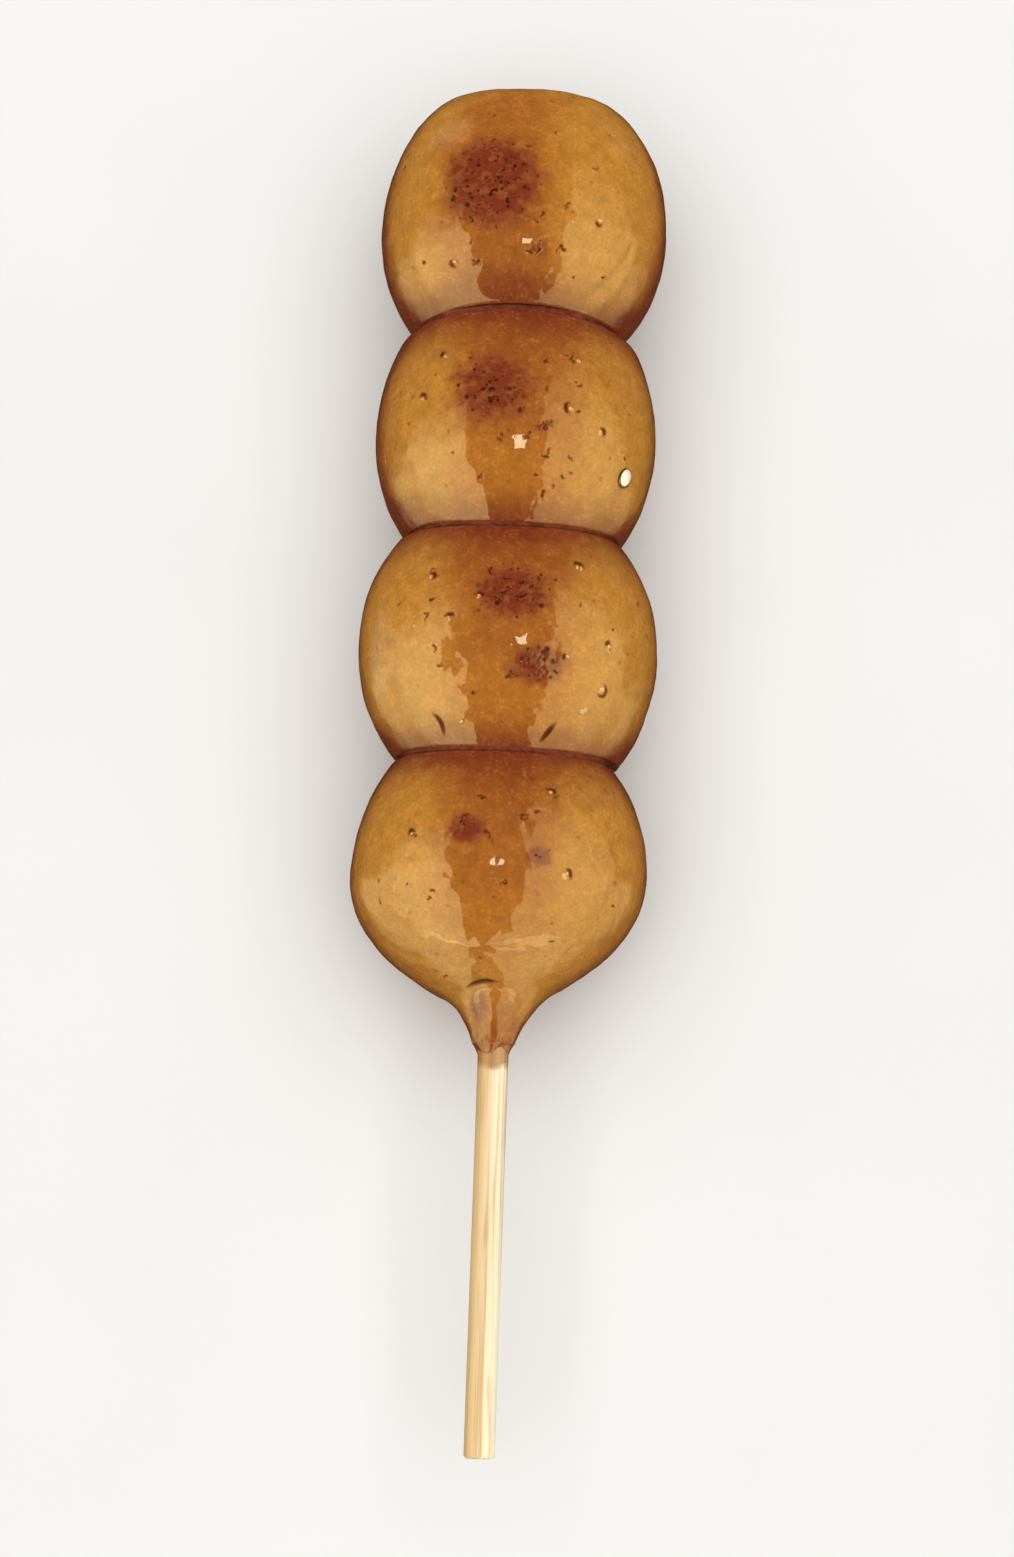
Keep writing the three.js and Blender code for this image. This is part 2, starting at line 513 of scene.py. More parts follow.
@dataclass(frozen=True)
class SetSyrup:
    """Soy and sugar syrup that has thickened in a narrow crease: dark, reddish and nearly dull."""

    ground: str = "#6e2c17"
    coats: tuple[Coat, ...] = (
        Coat("#48150b", (("clot", 0.4, 0.62),), 0.8),
        Coat("#230a07", (("crevice_shade", 0.2, 1.0),), 0.85),  # painted shade, deep between the dumplings' sides
    )
    clot_mm: float = 0.9  # across its thicker clots

    def make(self) -> bpy.types.Material:
        """Makes the material.

        Returns:
            The material, with painted shade where the mesh's crevice field is high.
        """
        material, tree, place = new_material("syrup_set_in_a_crease")
        clots = add_node(tree, "ShaderNodeTexNoise", None,
                         {"Vector": place, "Scale": 1 / (self.clot_mm * MM), "Detail": 3.0})
        # the crease's painted shade
        deep = add_node(tree, "ShaderNodeAttribute", {"attribute_name": Field.CREVICE_SHADE.value})
        amounts = {"clot": clots.outputs["Fac"], "crevice_shade": deep.outputs["Fac"]}
        lumps = add_node(tree, "ShaderNodeBump", None,
                         {"Height": clots.outputs["Fac"], "Strength": 0.8, "Distance": 0.1 * MM})
        return finish_material(material, {
            "Base Color": lay_coats(tree, self.ground, self.coats, amounts),
            "Normal": lumps.outputs["Normal"],
            "Roughness": 0.5,
            "Specular IOR Level": 0.2,
        })


@dataclass(frozen=True)
class ThinSyrupSkin:
    """A nearly clear, smooth skin of syrup over an air bubble, pale by painted reflection."""

    # The pale skin colours are a painted reflection of the bright room, and the dark rim is painted shade
    # round the bubble's foot.
    skin: str = "#fffdf4"
    deep: str = "#f0dcb0"
    rim: str = "#34150a"
    swirl_mm: float = 0.5  # across the thicker swirls in the skin

    def make(self) -> bpy.types.Material:
        """Makes the material.

        Returns:
            The material, with its painted shade rim where the mesh's crevice field is high.
        """
        material, tree, place = new_material("syrup_skin_over_air_painted_light")
        swirl = add_node(tree, "ShaderNodeTexNoise", None,
                         {"Vector": place, "Scale": 1 / (self.swirl_mm * MM), "Detail": 2.0})
        foot = add_node(tree, "ShaderNodeAttribute", {"attribute_name": Field.CREVICE_SHADE.value})
        mixed = add_node(tree, "ShaderNodeMix", {"data_type": "RGBA"},
                         {0: swirl.outputs["Fac"], 6: to_linear(self.skin), 7: to_linear(self.deep)})
        ringed = add_node(tree, "ShaderNodeMix", {"data_type": "RGBA"},
                          {0: foot.outputs["Fac"], 6: mixed.outputs[2], 7: to_linear(self.rim)})
        return finish_material(material, {
            "Base Color": ringed.outputs[2],
            "Roughness": 0.08,
            "Coat Weight": 1.0,
            "Coat Roughness": 0.02,
            "Coat IOR": 1.6,
        })


@dataclass(frozen=True)
class PaintedBoard:
    """The studio's matt white board, which the skewer lies on."""

    board: str = "#ecebe8"
    dust: str = "#e4e3e0"
    cloud_mm: float = 60.0

    def make(self) -> bpy.types.Material:
        """Makes the material.

        Returns:
            The material.
        """
        material, tree, place = new_material("board_painted_matt_white")
        cloud = add_node(tree, "ShaderNodeTexNoise", None,
                         {"Vector": place, "Scale": 1 / (self.cloud_mm * MM), "Detail": 2.0})
        mixed = add_node(tree, "ShaderNodeMix", {"data_type": "RGBA"},
                         {0: cloud.outputs["Fac"], 6: to_linear(self.board), 7: to_linear(self.dust)})
        return finish_material(material, {
            "Base Color": mixed.outputs[2],
            "Roughness": 0.9,
            "Specular IOR Level": 0.0,
        })


@dataclass(frozen=True)
class Patch:
    """An oval patch with a soft edge, where a field is stronger.

    It is a scorched spot, a pool of syrup, or a pale patch of painted sheen on the dough. x and y
    are from the dumpling's centre, seen from above.
    """

    x: float
    y: float
    across: float
    along: float
    strength: float = 1.0
    kind: Field = Field.SCORCH
    edge: Window = (1.35, 0.3)  # in half widths from its centre
    reach: float = 0.75  # of its longer side, beyond which there is nothing of it

    def share(self, offset: Vector) -> float:
        """How strong it is at an offset from its centre."""
        away = math.hypot(2 * offset.x / self.across, 2 * math.hypot(offset.y, offset.z) / self.along)
        return self.strength * smooth_step(*self.edge, away)


@dataclass(frozen=True)
class Blemish:
    """Where the glaze tore or a small bubble burst: crooked nicks, or a pale crumb with a tear.

    x and y are from the dumpling's centre, seen from above.
    """

    x: float
    y: float
    across: float = 1.2  # the room that the nicks take, or the length of the tear round the crumb
    nicks: int = 3
    depth: float = 0.08
    pale_crumb_and_sheen: float = 0.0  # across the pale crumb that stands up, its paleness partly a painted glint
    facing: float = 45.0  # the side of the crumb that the tear is on, in degrees from +X


@dataclass(frozen=True)
class Crease:
    """A curved nick, fold or low ridge in the glaze, seen from above.

    Its middle point pulls it round, and a depth below zero makes it a ridge.
    """

    start: tuple[float, float]
    middle: tuple[float, float]
    end: tuple[float, float]
    width: float
    depth: float
    stain: float = 1.0  # how dark it is

    def along(self, share: float) -> tuple[float, float]:
        """The place at a share of its length, on the curve that its points control.

        Args:
            share: From 0 at its start to 1 at its end.

        Returns:
            x and y, from the dumpling's centre.
        """
        back, turn, ahead = (1 - share) ** 2, 2 * share * (1 - share), share * share
        points = zip(self.start, self.middle, self.end)
        x, y = (back * a + turn * b + ahead * c for a, b, c in points)
        return x, y


@dataclass(frozen=True)
class Dent:
    """One small round hollow, or with a depth below zero a small bump, on a dumpling."""

    place: Vector
    radius: float
    depth: float
    stain: float
    # pale dough and painted glint on a crumb's bump
    pale_and_glint: float = 0.0


def tangents(normal: Vector) -> tuple[Vector, Vector]:
    """The ways across and along the skewer that lie flat on a surface.

    Args:
        normal: The surface's normal, which isn't along the skewer.

    Returns:
        The way across, to the right, and the way along, towards the tip.
    """
    along = (Vector((0.0, 1.0, 0.0)) - normal * normal.y).normalized()
    return along.cross(normal), along


@dataclass(frozen=True)
class Roll:
    """How the dumplings were rolled, pressed and laid down, which is the same for all four."""

    belly: float = 15.2  # reach below the stick if nothing held it up
    section_power: float = 2.25  # 2 is an ellipse, and more is squarer
    contact_gap: float = 0.3
    contact_round: float = 0.5
    end_round: float = 1.2
    table_round: float = 0.8
    waves: int = 5
    wave_depth: float = 0.25
    wave_pace: float = 2.2
    wave_quickening: float = 0.7
    wave_fading: float = 0.5
    collar_length: float = 3.0  # of syrup on the stick, past the last dumpling
    collar_rim: float = 2.5
    collar_widening: float = 3.5
    collar_depth: float = 5.4
    collar_flare: float = 1.5
    collar_fall: float = 0.8
    collar_round: float = 1.2
    film_inner: float = 1.7  # radius of the collar's thin ragged edge, just inside the stick's surface
    film_length: float = 1.3
    film_share: float = 0.85  # of that length, which it has on average
    film_raggedness: float = 0.8
    film_tongues: float = 4.0  # more of it gives more tongues along its edge
    film_breadth: float = 7.0  # more of it gives broader tongues
    film_taper: float = 1.3


@dataclass(frozen=True)
class Pooling:
    """Where the grill toasts a dumpling, where its syrup is thick, and its creases' painted shade.

    A slope is the upward part of the surface's normal: 1 on level ground and 0 on an upright side.
    """

    toasted_slope: Window = (0.4, 0.97)
    toasted_across: Window = (11.0, 2.0)  # from the middle of the toasted crest
    steeped_run: float = 4.5  # over which the thick syrup on the crest starts
    steep_slope: Window = (0.6, 0.0)
    steep_depth: float = 0.5  # on the steep sides
    low_from: float = -2.0  # the height, from the stick, from which it gets thicker downwards
    low_depth: float = 0.3
    flank_slope: Window = (0.75, 0.25)
    # the painted shade in the crease by a contact: the slopes over which it grows towards the steep sides
    crevice_shade_slope: Window = (0.75, 0.05)
    front_depth: float = 0.85  # by the contact ahead
    front_fade: float = 3.6  # from the contact ahead
    # the painted shade by the contact ahead, by the distance from it
    front_crevice_shade: Window = (0.6, 0.25)
    back_depth: float = 0.6
    back_reach: Window = (5.4, 0.0)  # from the contact behind
    # the painted shade by the contact behind, by the distance from it
    back_crevice_shade: Window = (0.5, 0.2)
    collar_depth: float = 0.5
    collar_along: Window = (-10.0, -13.0)
    collar_across: Window = (6.0, 2.0)  # from the stick's axis


@dataclass(frozen=True)
class Relief:
    """The low relief of the syrup's surface, and how dents are pressed into it."""

    waves: tuple[tuple[float, float], ...] = ((0.1, 4.2), (0.045, 1.4), (0.007, 0.6))  # height, size
    seed_step: float = 17.0  # between the places where two dumplings' relief is taken from
    calm: float = 0.75  # how much lower the waves are along the crest, where the syrup lies smooth
    calm_at: float = 0.3  # the crest's middle, across
    calm_across: Window = (3.2, 1.0)
    calm_slope: Window = (0.8, 0.97)
    burnt_depth: float = 0.03  # how far a scorched spot has sunk
    burnt_wave: tuple[float, float] = (0.012, 0.5)  # height, size
    table_free: Window = (0.0, 0.9)  # above the table, over which relief sets in
    contact_free: Window = (0.1, 0.8)  # from a contact
    dent_reach: float = 2.2  # in a dent's radii, beyond which it presses nothing
    dent_fall: float = 1.25  # how steeply its depth falls off
    stain_edge: Window = (2.1, 0.2)  # in radii from its middle, as the next one is
    # of a crumb's pale dough and painted glint, in radii from its middle
    pale_and_glint_edge: Window = (1.5, 0.4)

    def proud(self, vert: bmesh.types.BMVert, seed: Vector, burnt: float) -> float:
        """How far the syrup stands proud at a vertex.

        Args:
            vert: The vertex, with its normal.
            seed: Where the noise is taken from.
            burnt: How scorched the dough is there.

        Returns:
            The height, in millimetres.
        """
        place = vert.co + seed
        level = smooth_step(*self.calm_across, abs(vert.co.x - self.calm_at))
        level *= smooth_step(*self.calm_slope, vert.normal.z)
        rise = sum(height * noise.noise(place / size) for height, size in self.waves)
        height, size = self.burnt_wave
        sunk = self.burnt_depth + height * noise.noise(place / size)
        return (1 - self.calm * level) * rise - burnt * sunk


@dataclass(frozen=True)
class Marks:
    """The sizes of the small marks in the glaze."""

    nick_radius: Range = (0.12, 0.21)
    nick_bend: float = 0.35  # radians in a step, at most
    nick_wobble: float = 0.25
    stray_reach: Range = (0.15, 0.5)
    stray_depth: float = 0.05
    grit_radius: Range = (0.12, 0.24)
    grit_rise: float = 0.045
    pore_least: float = 0.1  # the least radius of a pore
    pore_spread: float = 0.2  # how much larger it may be
    pore_depth: float = 0.04
    crack_share: float = 0.3  # of a scorched spot's pores, which are short cracks
    crack_reach: Range = (0.25, 0.7)
    crack_depth: float = 0.06
    crease_steps: int = 24
    crumb_bumps: int = 4
    crumb_scatter: float = 0.38  # of the crumb's width, as the next one is
    crumb_radius: Range = (0.2, 0.36)
    crumb_depth: Range = (-0.12, -0.06)  # below zero, because its bumps stand up
    tear_gap: float = 0.22  # between the crumb's edge and the tear
    tear_wobble: float = 0.12
    tear_radius: float = 0.1  # the least radius of its dents
    tear_swell: float = 0.13  # how much larger they are, at most, in its middle
    tear_step: float = 0.08


@dataclass
class Dumpling:
    """One dumpling, with nearly the form of its CAD solid and with its marks pressed into it."""

    number: int
    front: float
    back: float
    front_swell: float
    back_swell: float
    width: float
    crown: float
    shift: float
    front_taper: float = 0.5
    back_taper: float = 0.5
    front_pressed: bool = True
    back_pressed: bool = True
    front_bow: float = 0.0  # how far the contact bends to the handle at BOW_AT from the stick
    back_bow: float = 0.0
    patches: tuple[Patch, ...] = ()
    blemishes: tuple[Blemish, ...] = ()
    creases: tuple[Crease, ...] = ()
    roll: Roll = Roll()
    pooling: Pooling = Pooling()
    relief: Relief = Relief()
    marks: Marks = Marks()
    fineness: int = 7  # of the icosphere: its triangles are then about 0.28 mm across
    stray_nicks: int = 26
    grit: int = 60
    pores_per_mm2: float = 0.8
    toast_at: float = 0.0  # the middle of its toasted crest, across
    steeped: float = 0.3  # how thick the syrup has set on its crest
    clear_behind: float = -5.5  # the place along it behind which the crest is clear of that
    flanks: tuple[float, float] = (0.0, 0.0)  # how much darker and redder the steep sides are, left and right
    broad: float = 1.5  # the radius from which a dent needs no finer mesh
    spot_zone: float = 0.6  # of a scorched spot's longer side, with a finer mesh
    dent_margin: float = 0.5  # round a dent, with a finer mesh
    rim_zones: tuple[float, float] = (8.0, 4.5)  # round the collar's rim, finer and finest

    def waves(self) -> list[tuple[Vector, float, float, float]]:
        """Its slow waves of unevenness.

        Returns:
            Each wave's direction, pace, phase and depth.
        """
        roll, found = self.roll, []
        for wave in range(roll.waves):
            turn = GOLDEN_ANGLE * (1 + wave + roll.waves * (self.number - 1))
            lift = -1 + 2 * (wave + 0.5) / roll.waves
            level = math.sqrt(1 - lift * lift)
            way = Vector((level * math.cos(turn), lift, level * math.sin(turn)))
            pace = roll.wave_pace + roll.wave_quickening * wave
            found.append((way, pace, 2 * turn, roll.wave_depth / (1 + roll.wave_fading * wave)))
        return found

    def collar_reach(self, x: float, z: float) -> float:
        """How far behind its widest section the collar of syrup reaches.

        Args:
            x: The place across, from the stick's axis.
            z: The place upwards, from the stick's axis.

        Returns:
            The reach towards the handle.
        """
        roll, radius = self.roll, math.hypot(x, z)
        widened = max(radius - roll.collar_rim, 0.0) / roll.collar_widening
        depth = roll.collar_depth * widened ** (1 / roll.collar_flare) + roll.collar_fall * widened**2
        inward = (roll.collar_rim - radius) / (roll.collar_rim - roll.film_inner)
        around = Vector((x, roll.film_breadth, z)).normalized() * roll.film_tongues
        film = roll.film_length * (roll.film_share + roll.film_raggedness * noise.noise(around))
        film *= min(max(inward, 0.0), 1.0) ** roll.film_taper
        return self.back + roll.collar_length - depth + film

    def surface(self, way: Vector, waves: list[tuple[Vector, float, float, float]]) -> Vector:
        """The point of its smooth surface that lies one way from its centre.

        Args:
            way: A unit direction.
            waves: Its slow waves.

        Returns:
            The point, from the middle of its widest section.
        """
        roll, ahead = self.roll, way.y > 0
        across = abs(way.x / (self.width / 2)) ** roll.section_power
        upright = abs(way.z / (self.crown if way.z > 0 else roll.belly)) ** roll.section_power
        section = (across + upright + sys.float_info.epsilon) ** (-1 / roll.section_power)
        taper = self.front_taper if ahead else self.back_taper
        spread = section * math.hypot(way.x, way.z) ** (2 * taper)
        swell = self.front_swell if ahead else self.back_swell
        proud = sum(depth * math.sin(pace * way.dot(axis) + phase) for axis, pace, phase, depth in waves)
        point = Vector((way.x * (spread + proud), way.y * (swell + proud), way.z * (spread + proud)))
        gap, bent = roll.contact_gap / 2, ((point.x + self.shift) / BOW_AT) ** 2
        if ahead and self.front_pressed:
            point.y = level_off(point.y, self.front - gap - self.front_bow * bent, roll.contact_round)
        elif ahead:
            point.y = level_off(point.y, self.front, roll.end_round)
        elif self.back_pressed:
            point.y = -level_off(-point.y, self.back - gap + self.back_bow * bent, roll.contact_round)
        else:
            reach = self.collar_reach(point.x + self.shift, point.z)
            point.y = -soft_max(-point.y, reach, roll.collar_round)
        return point

    def ends(self, place: Vector) -> tuple[float, float]:
        """How far a place is from the contact ahead of it and from the one behind it."""
        bent = ((place.x + self.shift) / BOW_AT) ** 2
        return (self.front - self.front_bow * bent - place.y,
                self.back + self.back_bow * bent + place.y)

    def build(self, centre: Vector) -> bmesh.types.BMesh:
        """Makes its shape, with its marks and its fields.

        Args:
            centre: The middle of its widest section, in millimetres in the row's frame.

        Returns:
            The shape, in metres and in place.
        """
        bm = bmesh.new()
        bmesh.ops.create_icosphere(bm, subdivisions=self.fineness, radius=1.0)
        waves = self.waves()
        floor = centre.z
        for vert in bm.verts:
            point = self.surface(vert.co.normalized(), waves)
            point.z = -level_off(-point.z, floor, self.roll.table_round)
            vert.co = point
        tree = BVHTree.FromBMesh(bm)
        dents = self.dents(tree)
        for zones in self.finer_zones(tree, dents):
            self.refine(bm, zones)
        bm.normal_update()
        layers = {entry: bm.verts.layers.float.new(entry.value) for entry in Field}
        self.shade(bm, layers, floor)
        self.press(bm, tree, dents, layers, floor)
        bmesh.ops.translate(bm, verts=bm.verts, vec=centre)
        bmesh.ops.scale(bm, verts=bm.verts, vec=(MM, MM, MM))
        bm.normal_update()
        return bm

    def finer_zones(self, tree: BVHTree, dents: list[Dent]) -> tuple[Zones, Zones]:
        """Where its mesh has to be finer.

        Args:
            tree: The smooth shape, to find places on.
            dents: Its dents.

        Returns:
            The zones for a first refinement, and those for a second one.
        """
        spots = [patch for patch in self.patches if patch.kind is Field.SCORCH]
        narrow = [dent for dent in dents if dent.radius < self.broad]
        first = [(self.drop(tree, spot.x, spot.y)[0], self.spot_zone * max(spot.across, spot.along))
                 for spot in spots]
        first += [(dent.place, dent.radius + self.dent_margin) for dent in narrow]
        second = [(dent.place, 2 * dent.radius) for dent in narrow]
        if not self.back_pressed:
            rim = Vector((-self.shift, -self.back - self.roll.collar_length, 0.0))
            first.append((rim, self.rim_zones[0]))
            second.append((rim, self.rim_zones[1]))
        return first, second

    def drop(self, tree: BVHTree, x: float, y: float) -> tuple[Vector, Vector]:
        """Finds a place on its upper side.

        Args:
            tree: The smooth shape.
            x: The place across, from its centre.
            y: The place along, from its centre.

        Returns:
            The place, and the normal there.
        """
        place, normal, _, _ = tree.ray_cast(Vector((x, y, 2 * self.crown)), -UP)
        if place is None:
            raise ValueError(f"dumpling {self.number} has no surface at {x}, {y}")
        return place, normal

    def nick(self, place: Vector, normal: Vector, reach: float, depth: float,
             rng: random.Random) -> list[Dent]:
        """A short crooked nick, as a chain of dents.

        Args:
            place: Where it is near.
            normal: The surface's normal there.
            reach: How far from the place it may start, and about how long it is.
            depth: How deep it is.
            rng: Where its chances come from.

        Returns:
            The dents.
        """
        marks, (across, along) = self.marks, tangents(normal)
        heading, start = rng.uniform(0, 2 * math.pi), rng.uniform(0, 2 * math.pi)
        away = reach * rng.random() ** 0.5
        x, y = away * math.cos(start), away * math.sin(start)
        radius, dark = rng.uniform(*marks.nick_radius), rng.uniform(0.6, 1.0)
        bend = rng.uniform(-marks.nick_bend, marks.nick_bend)
        steps = max(int(reach * rng.uniform(0.8, 2.0) / (0.5 * radius)), 1)
        chain = []
        for step in range(steps):
            size = radius * rng.uniform(0.8, 1.1) * (1 - 0.5 * step / steps)
            stain = dark * rng.uniform(0.7, 1.0)
            chain.append(Dent(place + across * x + along * y, size, depth, stain))
            x += 0.5 * radius * math.cos(heading)
            y += 0.5 * radius * math.sin(heading)
            heading += bend + rng.uniform(-marks.nick_wobble, marks.nick_wobble)
        return chain

    def burst(self, place: Vector, normal: Vector, mark: Blemish, rng: random.Random) -> list[Dent]:
        """A pale crumb, partly a painted glint, with a curved tear beside it, as dents and bumps.

        Args:
            place: The crumb's middle.
            normal: The surface's normal there.
            mark: Its sizes.
            rng: Where its chances come from.

        Returns:
            The dents and bumps.
        """
        marks, found = self.marks, []
        across, along = tangents(normal)
        scatter = marks.crumb_scatter
        for _ in range(marks.crumb_bumps):
            x, y = (rng.uniform(-scatter, scatter) * mark.pale_crumb_and_sheen for _ in range(2))
            found.append(Dent(place + across * x + along * y,
                              rng.uniform(*marks.crumb_radius) * mark.pale_crumb_and_sheen,
                              rng.uniform(*marks.crumb_depth), 0.0, rng.uniform(0.6, 1.0)))
        away = 0.5 * mark.pale_crumb_and_sheen + marks.tear_gap
        span = mark.across / away
        steps = int(mark.across / marks.tear_step)
        for step in range(steps):
            share = step / steps
            turn = math.radians(mark.facing) + span * (share - 0.5)
            fade = math.sin(math.pi * (0.1 + 0.8 * share)) * rng.uniform(0.75, 1.0)
            reach = away * (1 + marks.tear_wobble * math.sin(9 * share + mark.x))
            spot = place + (across * math.cos(turn) + along * math.sin(turn)) * reach
            radius = marks.tear_radius + marks.tear_swell * fade
            found.append(Dent(spot, radius, mark.depth * fade, fade))
        return found

    def pores(self, tree: BVHTree, spot: Patch, rng: random.Random) -> list[Dent]:
        """The pores and short cracks of a scorched spot.

        Args:
            tree: The smooth shape, to find places on.
            spot: The spot.
            rng: Where its chances come from.

        Returns:
            The dents.
        """
        marks, found = self.marks, []
        area = math.pi * spot.across * spot.along / 4
        for _ in range(int(self.pores_per_mm2 * area * spot.strength)):
            turn, away = rng.uniform(0, 2 * math.pi), 0.47 * rng.random() ** 0.6
            place, normal = self.drop(tree, spot.x + spot.across * away * math.cos(turn),
                                      spot.y + spot.along * away * math.sin(turn))
            if rng.random() < marks.crack_share:
                reach = rng.uniform(*marks.crack_reach)
                found += self.nick(place, normal, reach, marks.crack_depth, rng)
            else:
                radius = marks.pore_least + marks.pore_spread * rng.random() ** 2
                found.append(Dent(place, radius, marks.pore_depth, rng.uniform(0.4, 1.0)))
        return found

    def fold(self, tree: BVHTree, crease: Crease) -> list[Dent]:
        """A crease, as a row of dents that is lower towards its ends.

        Args:
            tree: The smooth shape, to find places on.
            crease: The crease.

        Returns:
            The dents.
        """
        found = []
        for step in range(self.marks.crease_steps + 1):
            share = step / self.marks.crease_steps
            fade = math.sin(math.pi * (0.06 + 0.88 * share)) ** 0.7
            place, _ = self.drop(tree, *crease.along(share))
            found.append(Dent(place, crease.width * (0.4 + 0.6 * fade), crease.depth * fade,
                              crease.stain * fade))
        return found

    def dents(self, tree: BVHTree) -> list[Dent]:
        """Every nick, crease, pore and crumb of grit.

        Args:
            tree: The smooth shape, to find places on.

        Returns:
            The dents that make them up.
        """
        marks, rng = self.marks, random.Random(100 + self.number)
        found: list[Dent] = []
        for mark in self.blemishes:
            place, normal = self.drop(tree, mark.x, mark.y)
            for _ in range(mark.nicks):
                found += self.nick(place, normal, 0.45 * mark.across, mark.depth, rng)
            if mark.pale_crumb_and_sheen > 0:
                found += self.burst(place, normal, mark, rng)
        for patch in self.patches:
            if patch.kind is Field.SCORCH:
                found += self.pores(tree, patch, rng)
        for crease in self.creases:
            found += self.fold(tree, crease)
        for is_nick in [True] * self.stray_nicks + [False] * self.grit:
            way = Vector((rng.gauss(0, 1), rng.gauss(0, 1), rng.gauss(0, 1))).normalized()
            place, normal, _, _ = tree.ray_cast(Vector(), way)
            if is_nick:
                reach = rng.uniform(*marks.stray_reach)
                found += self.nick(place, normal, reach, marks.stray_depth, rng)
            else:
                found.append(Dent(place, rng.uniform(*marks.grit_radius), -marks.grit_rise, 0.0))
        return found

    def refine(self, bm: bmesh.types.BMesh, zones: Zones) -> None:
        """Halves the edges in some zones.

        Args:
            bm: The smooth shape.
            zones: The zones.
        """
        finder = vert_finder(bm)
        chosen = {index for place, reach in zones for _, index, _ in finder.find_range(place, reach)}
        edges = [e for e in bm.edges if e.verts[0].index in chosen and e.verts[1].index in chosen]
        bmesh.ops.subdivide_edges(bm, edges=edges, cuts=1, use_grid_fill=True)
        bmesh.ops.triangulate(bm, faces=[face for face in bm.faces if len(face.verts) > 3])

    def shade(self, bm: bmesh.types.BMesh, layers: dict, floor: float) -> None:
        """Writes where the dough is toasted, where the syrup is thick, and the creases' painted shade.

        Args:
            bm: The smooth shape, with its normals.
            layers: The layer of each field.
            floor: The table's depth below the stick.
        """
        pool = self.pooling
        behind_clear = (self.clear_behind, self.clear_behind + pool.steeped_run)
        for vert in bm.verts:
            x, y, z = vert.co
            slope = vert.normal.z
            ahead, behind = self.ends(vert.co)
            crest = smooth_step(*pool.toasted_slope, slope)
            crest *= smooth_step(*pool.toasted_across, abs(x - self.toast_at))
            steeped = self.steeped * crest * smooth_step(*behind_clear, y)
            depth = pool.steep_depth * smooth_step(*pool.steep_slope, slope)
            depth += pool.low_depth * smooth_step(pool.low_from, -floor, z)
            depth += self.flanks[x > 0] * abs(vert.normal.x) * smooth_step(*pool.flank_slope, slope)
            # painted shade in the creases by the contacts: darker on the steep sides and near each contact
            side = smooth_step(*pool.crevice_shade_slope, slope)
            dark = 0.0
            if self.front_pressed:
                near = pool.front_depth * math.exp(-max(ahead, 0.0) / pool.front_fade)
                steeped = 1 - (1 - steeped) * (1 - near)
                dark = side * smooth_step(*pool.front_crevice_shade, ahead)
            if self.back_pressed:
                depth += pool.back_depth * smooth_step(*pool.back_reach, behind)
                dark = max(dark, side * smooth_step(*pool.back_crevice_shade, behind))
            else:
                cone = pool.collar_depth * smooth_step(*pool.collar_along, y)
                depth += cone * smooth_step(*pool.collar_across, math.hypot(x + self.shift, z))
            vert[layers[Field.TOAST]] = crest
            vert[layers[Field.CREVICE_SHADE]] = dark
            vert[layers[Field.SYRUP]] = min(depth + steeped, 1.0)

    def press(self, bm: bmesh.types.BMesh, tree: BVHTree, dents: list[Dent], layers: dict,
              floor: float) -> None:
        """Presses in the dents and the low relief, and writes their fields and the patches.

        Args:
            bm: The smooth shape, with its normals.
            tree: The smooth shape before it was refined, to find places on.
            dents: Its dents.
            layers: The layer of each field.
            floor: The table's depth below the stick.
        """
        relief, verts, finder = self.relief, list(bm.verts), vert_finder(bm)
        for patch in self.patches:
            centre, _ = self.drop(tree, patch.x, patch.y)
            layer = layers[patch.kind]
            for place, i, _ in finder.find_range(centre, patch.reach * max(patch.across, patch.along)):
                verts[i][layer] = max(verts[i][layer], patch.share(place - centre))

        sink = [0.0] * len(verts)
        pit, pale_crumb_and_sheen = layers[Field.PIT], layers[Field.PALE_CRUMB_AND_SHEEN]
        for dent in dents:
            for _, i, distance in finder.find_range(dent.place, relief.dent_reach * dent.radius):
                away = distance / dent.radius
                depth = dent.depth * math.exp(-((relief.dent_fall * away) ** 2))
                if abs(depth) > abs(sink[i]):
                    sink[i] = depth
                stain = dent.stain * smooth_step(*relief.stain_edge, away)
                verts[i][pit] = max(verts[i][pit], stain)
                # pale dough and painted glint on a crumb's bumps
                pale_and_glint = dent.pale_and_glint * smooth_step(*relief.pale_and_glint_edge, away)
                verts[i][pale_crumb_and_sheen] = max(verts[i][pale_crumb_and_sheen], pale_and_glint)

        seed = Vector((relief.seed_step * self.number, 0.0, 0.0))
        for vert, depth in zip(verts, sink):
            free = smooth_step(*relief.table_free, vert.co.z + floor)
            for pressed, away in zip((self.front_pressed, self.back_pressed), self.ends(vert.co)):
                if pressed:
                    free *= smooth_step(*relief.contact_free, away)
            proud = relief.proud(vert, seed, vert[layers[Field.SCORCH]])
            vert.co += vert.normal * (proud - depth) * free


@dataclass(frozen=True)
class SoftPanel:
    """A long soft light, leaning or upright, that only the glaze mirrors.

    Before it is turned, its long side runs along Y, and its outer edge is lower than its inner edge
    and no nearer to the skewer.
    """

    name: str
    inner: tuple[float, float, float]  # the inner edge's end, from which it runs towards -Y
    outer: tuple[float, float]  # the outer edge's distance from the skewer, and its height
    length: float
    turn: float  # about Z and about the inner edge's end, in degrees
    radiance: float
    colour: str = "#ffeda7"
    fade: float = 0.07  # share of the length, from that end, over which it gets dim
    hold: float = 0.3  # share of the width, from the inner edge, that is fully bright
    dim: float = 0.5  # how bright the outer edge is, as a share of the inner one


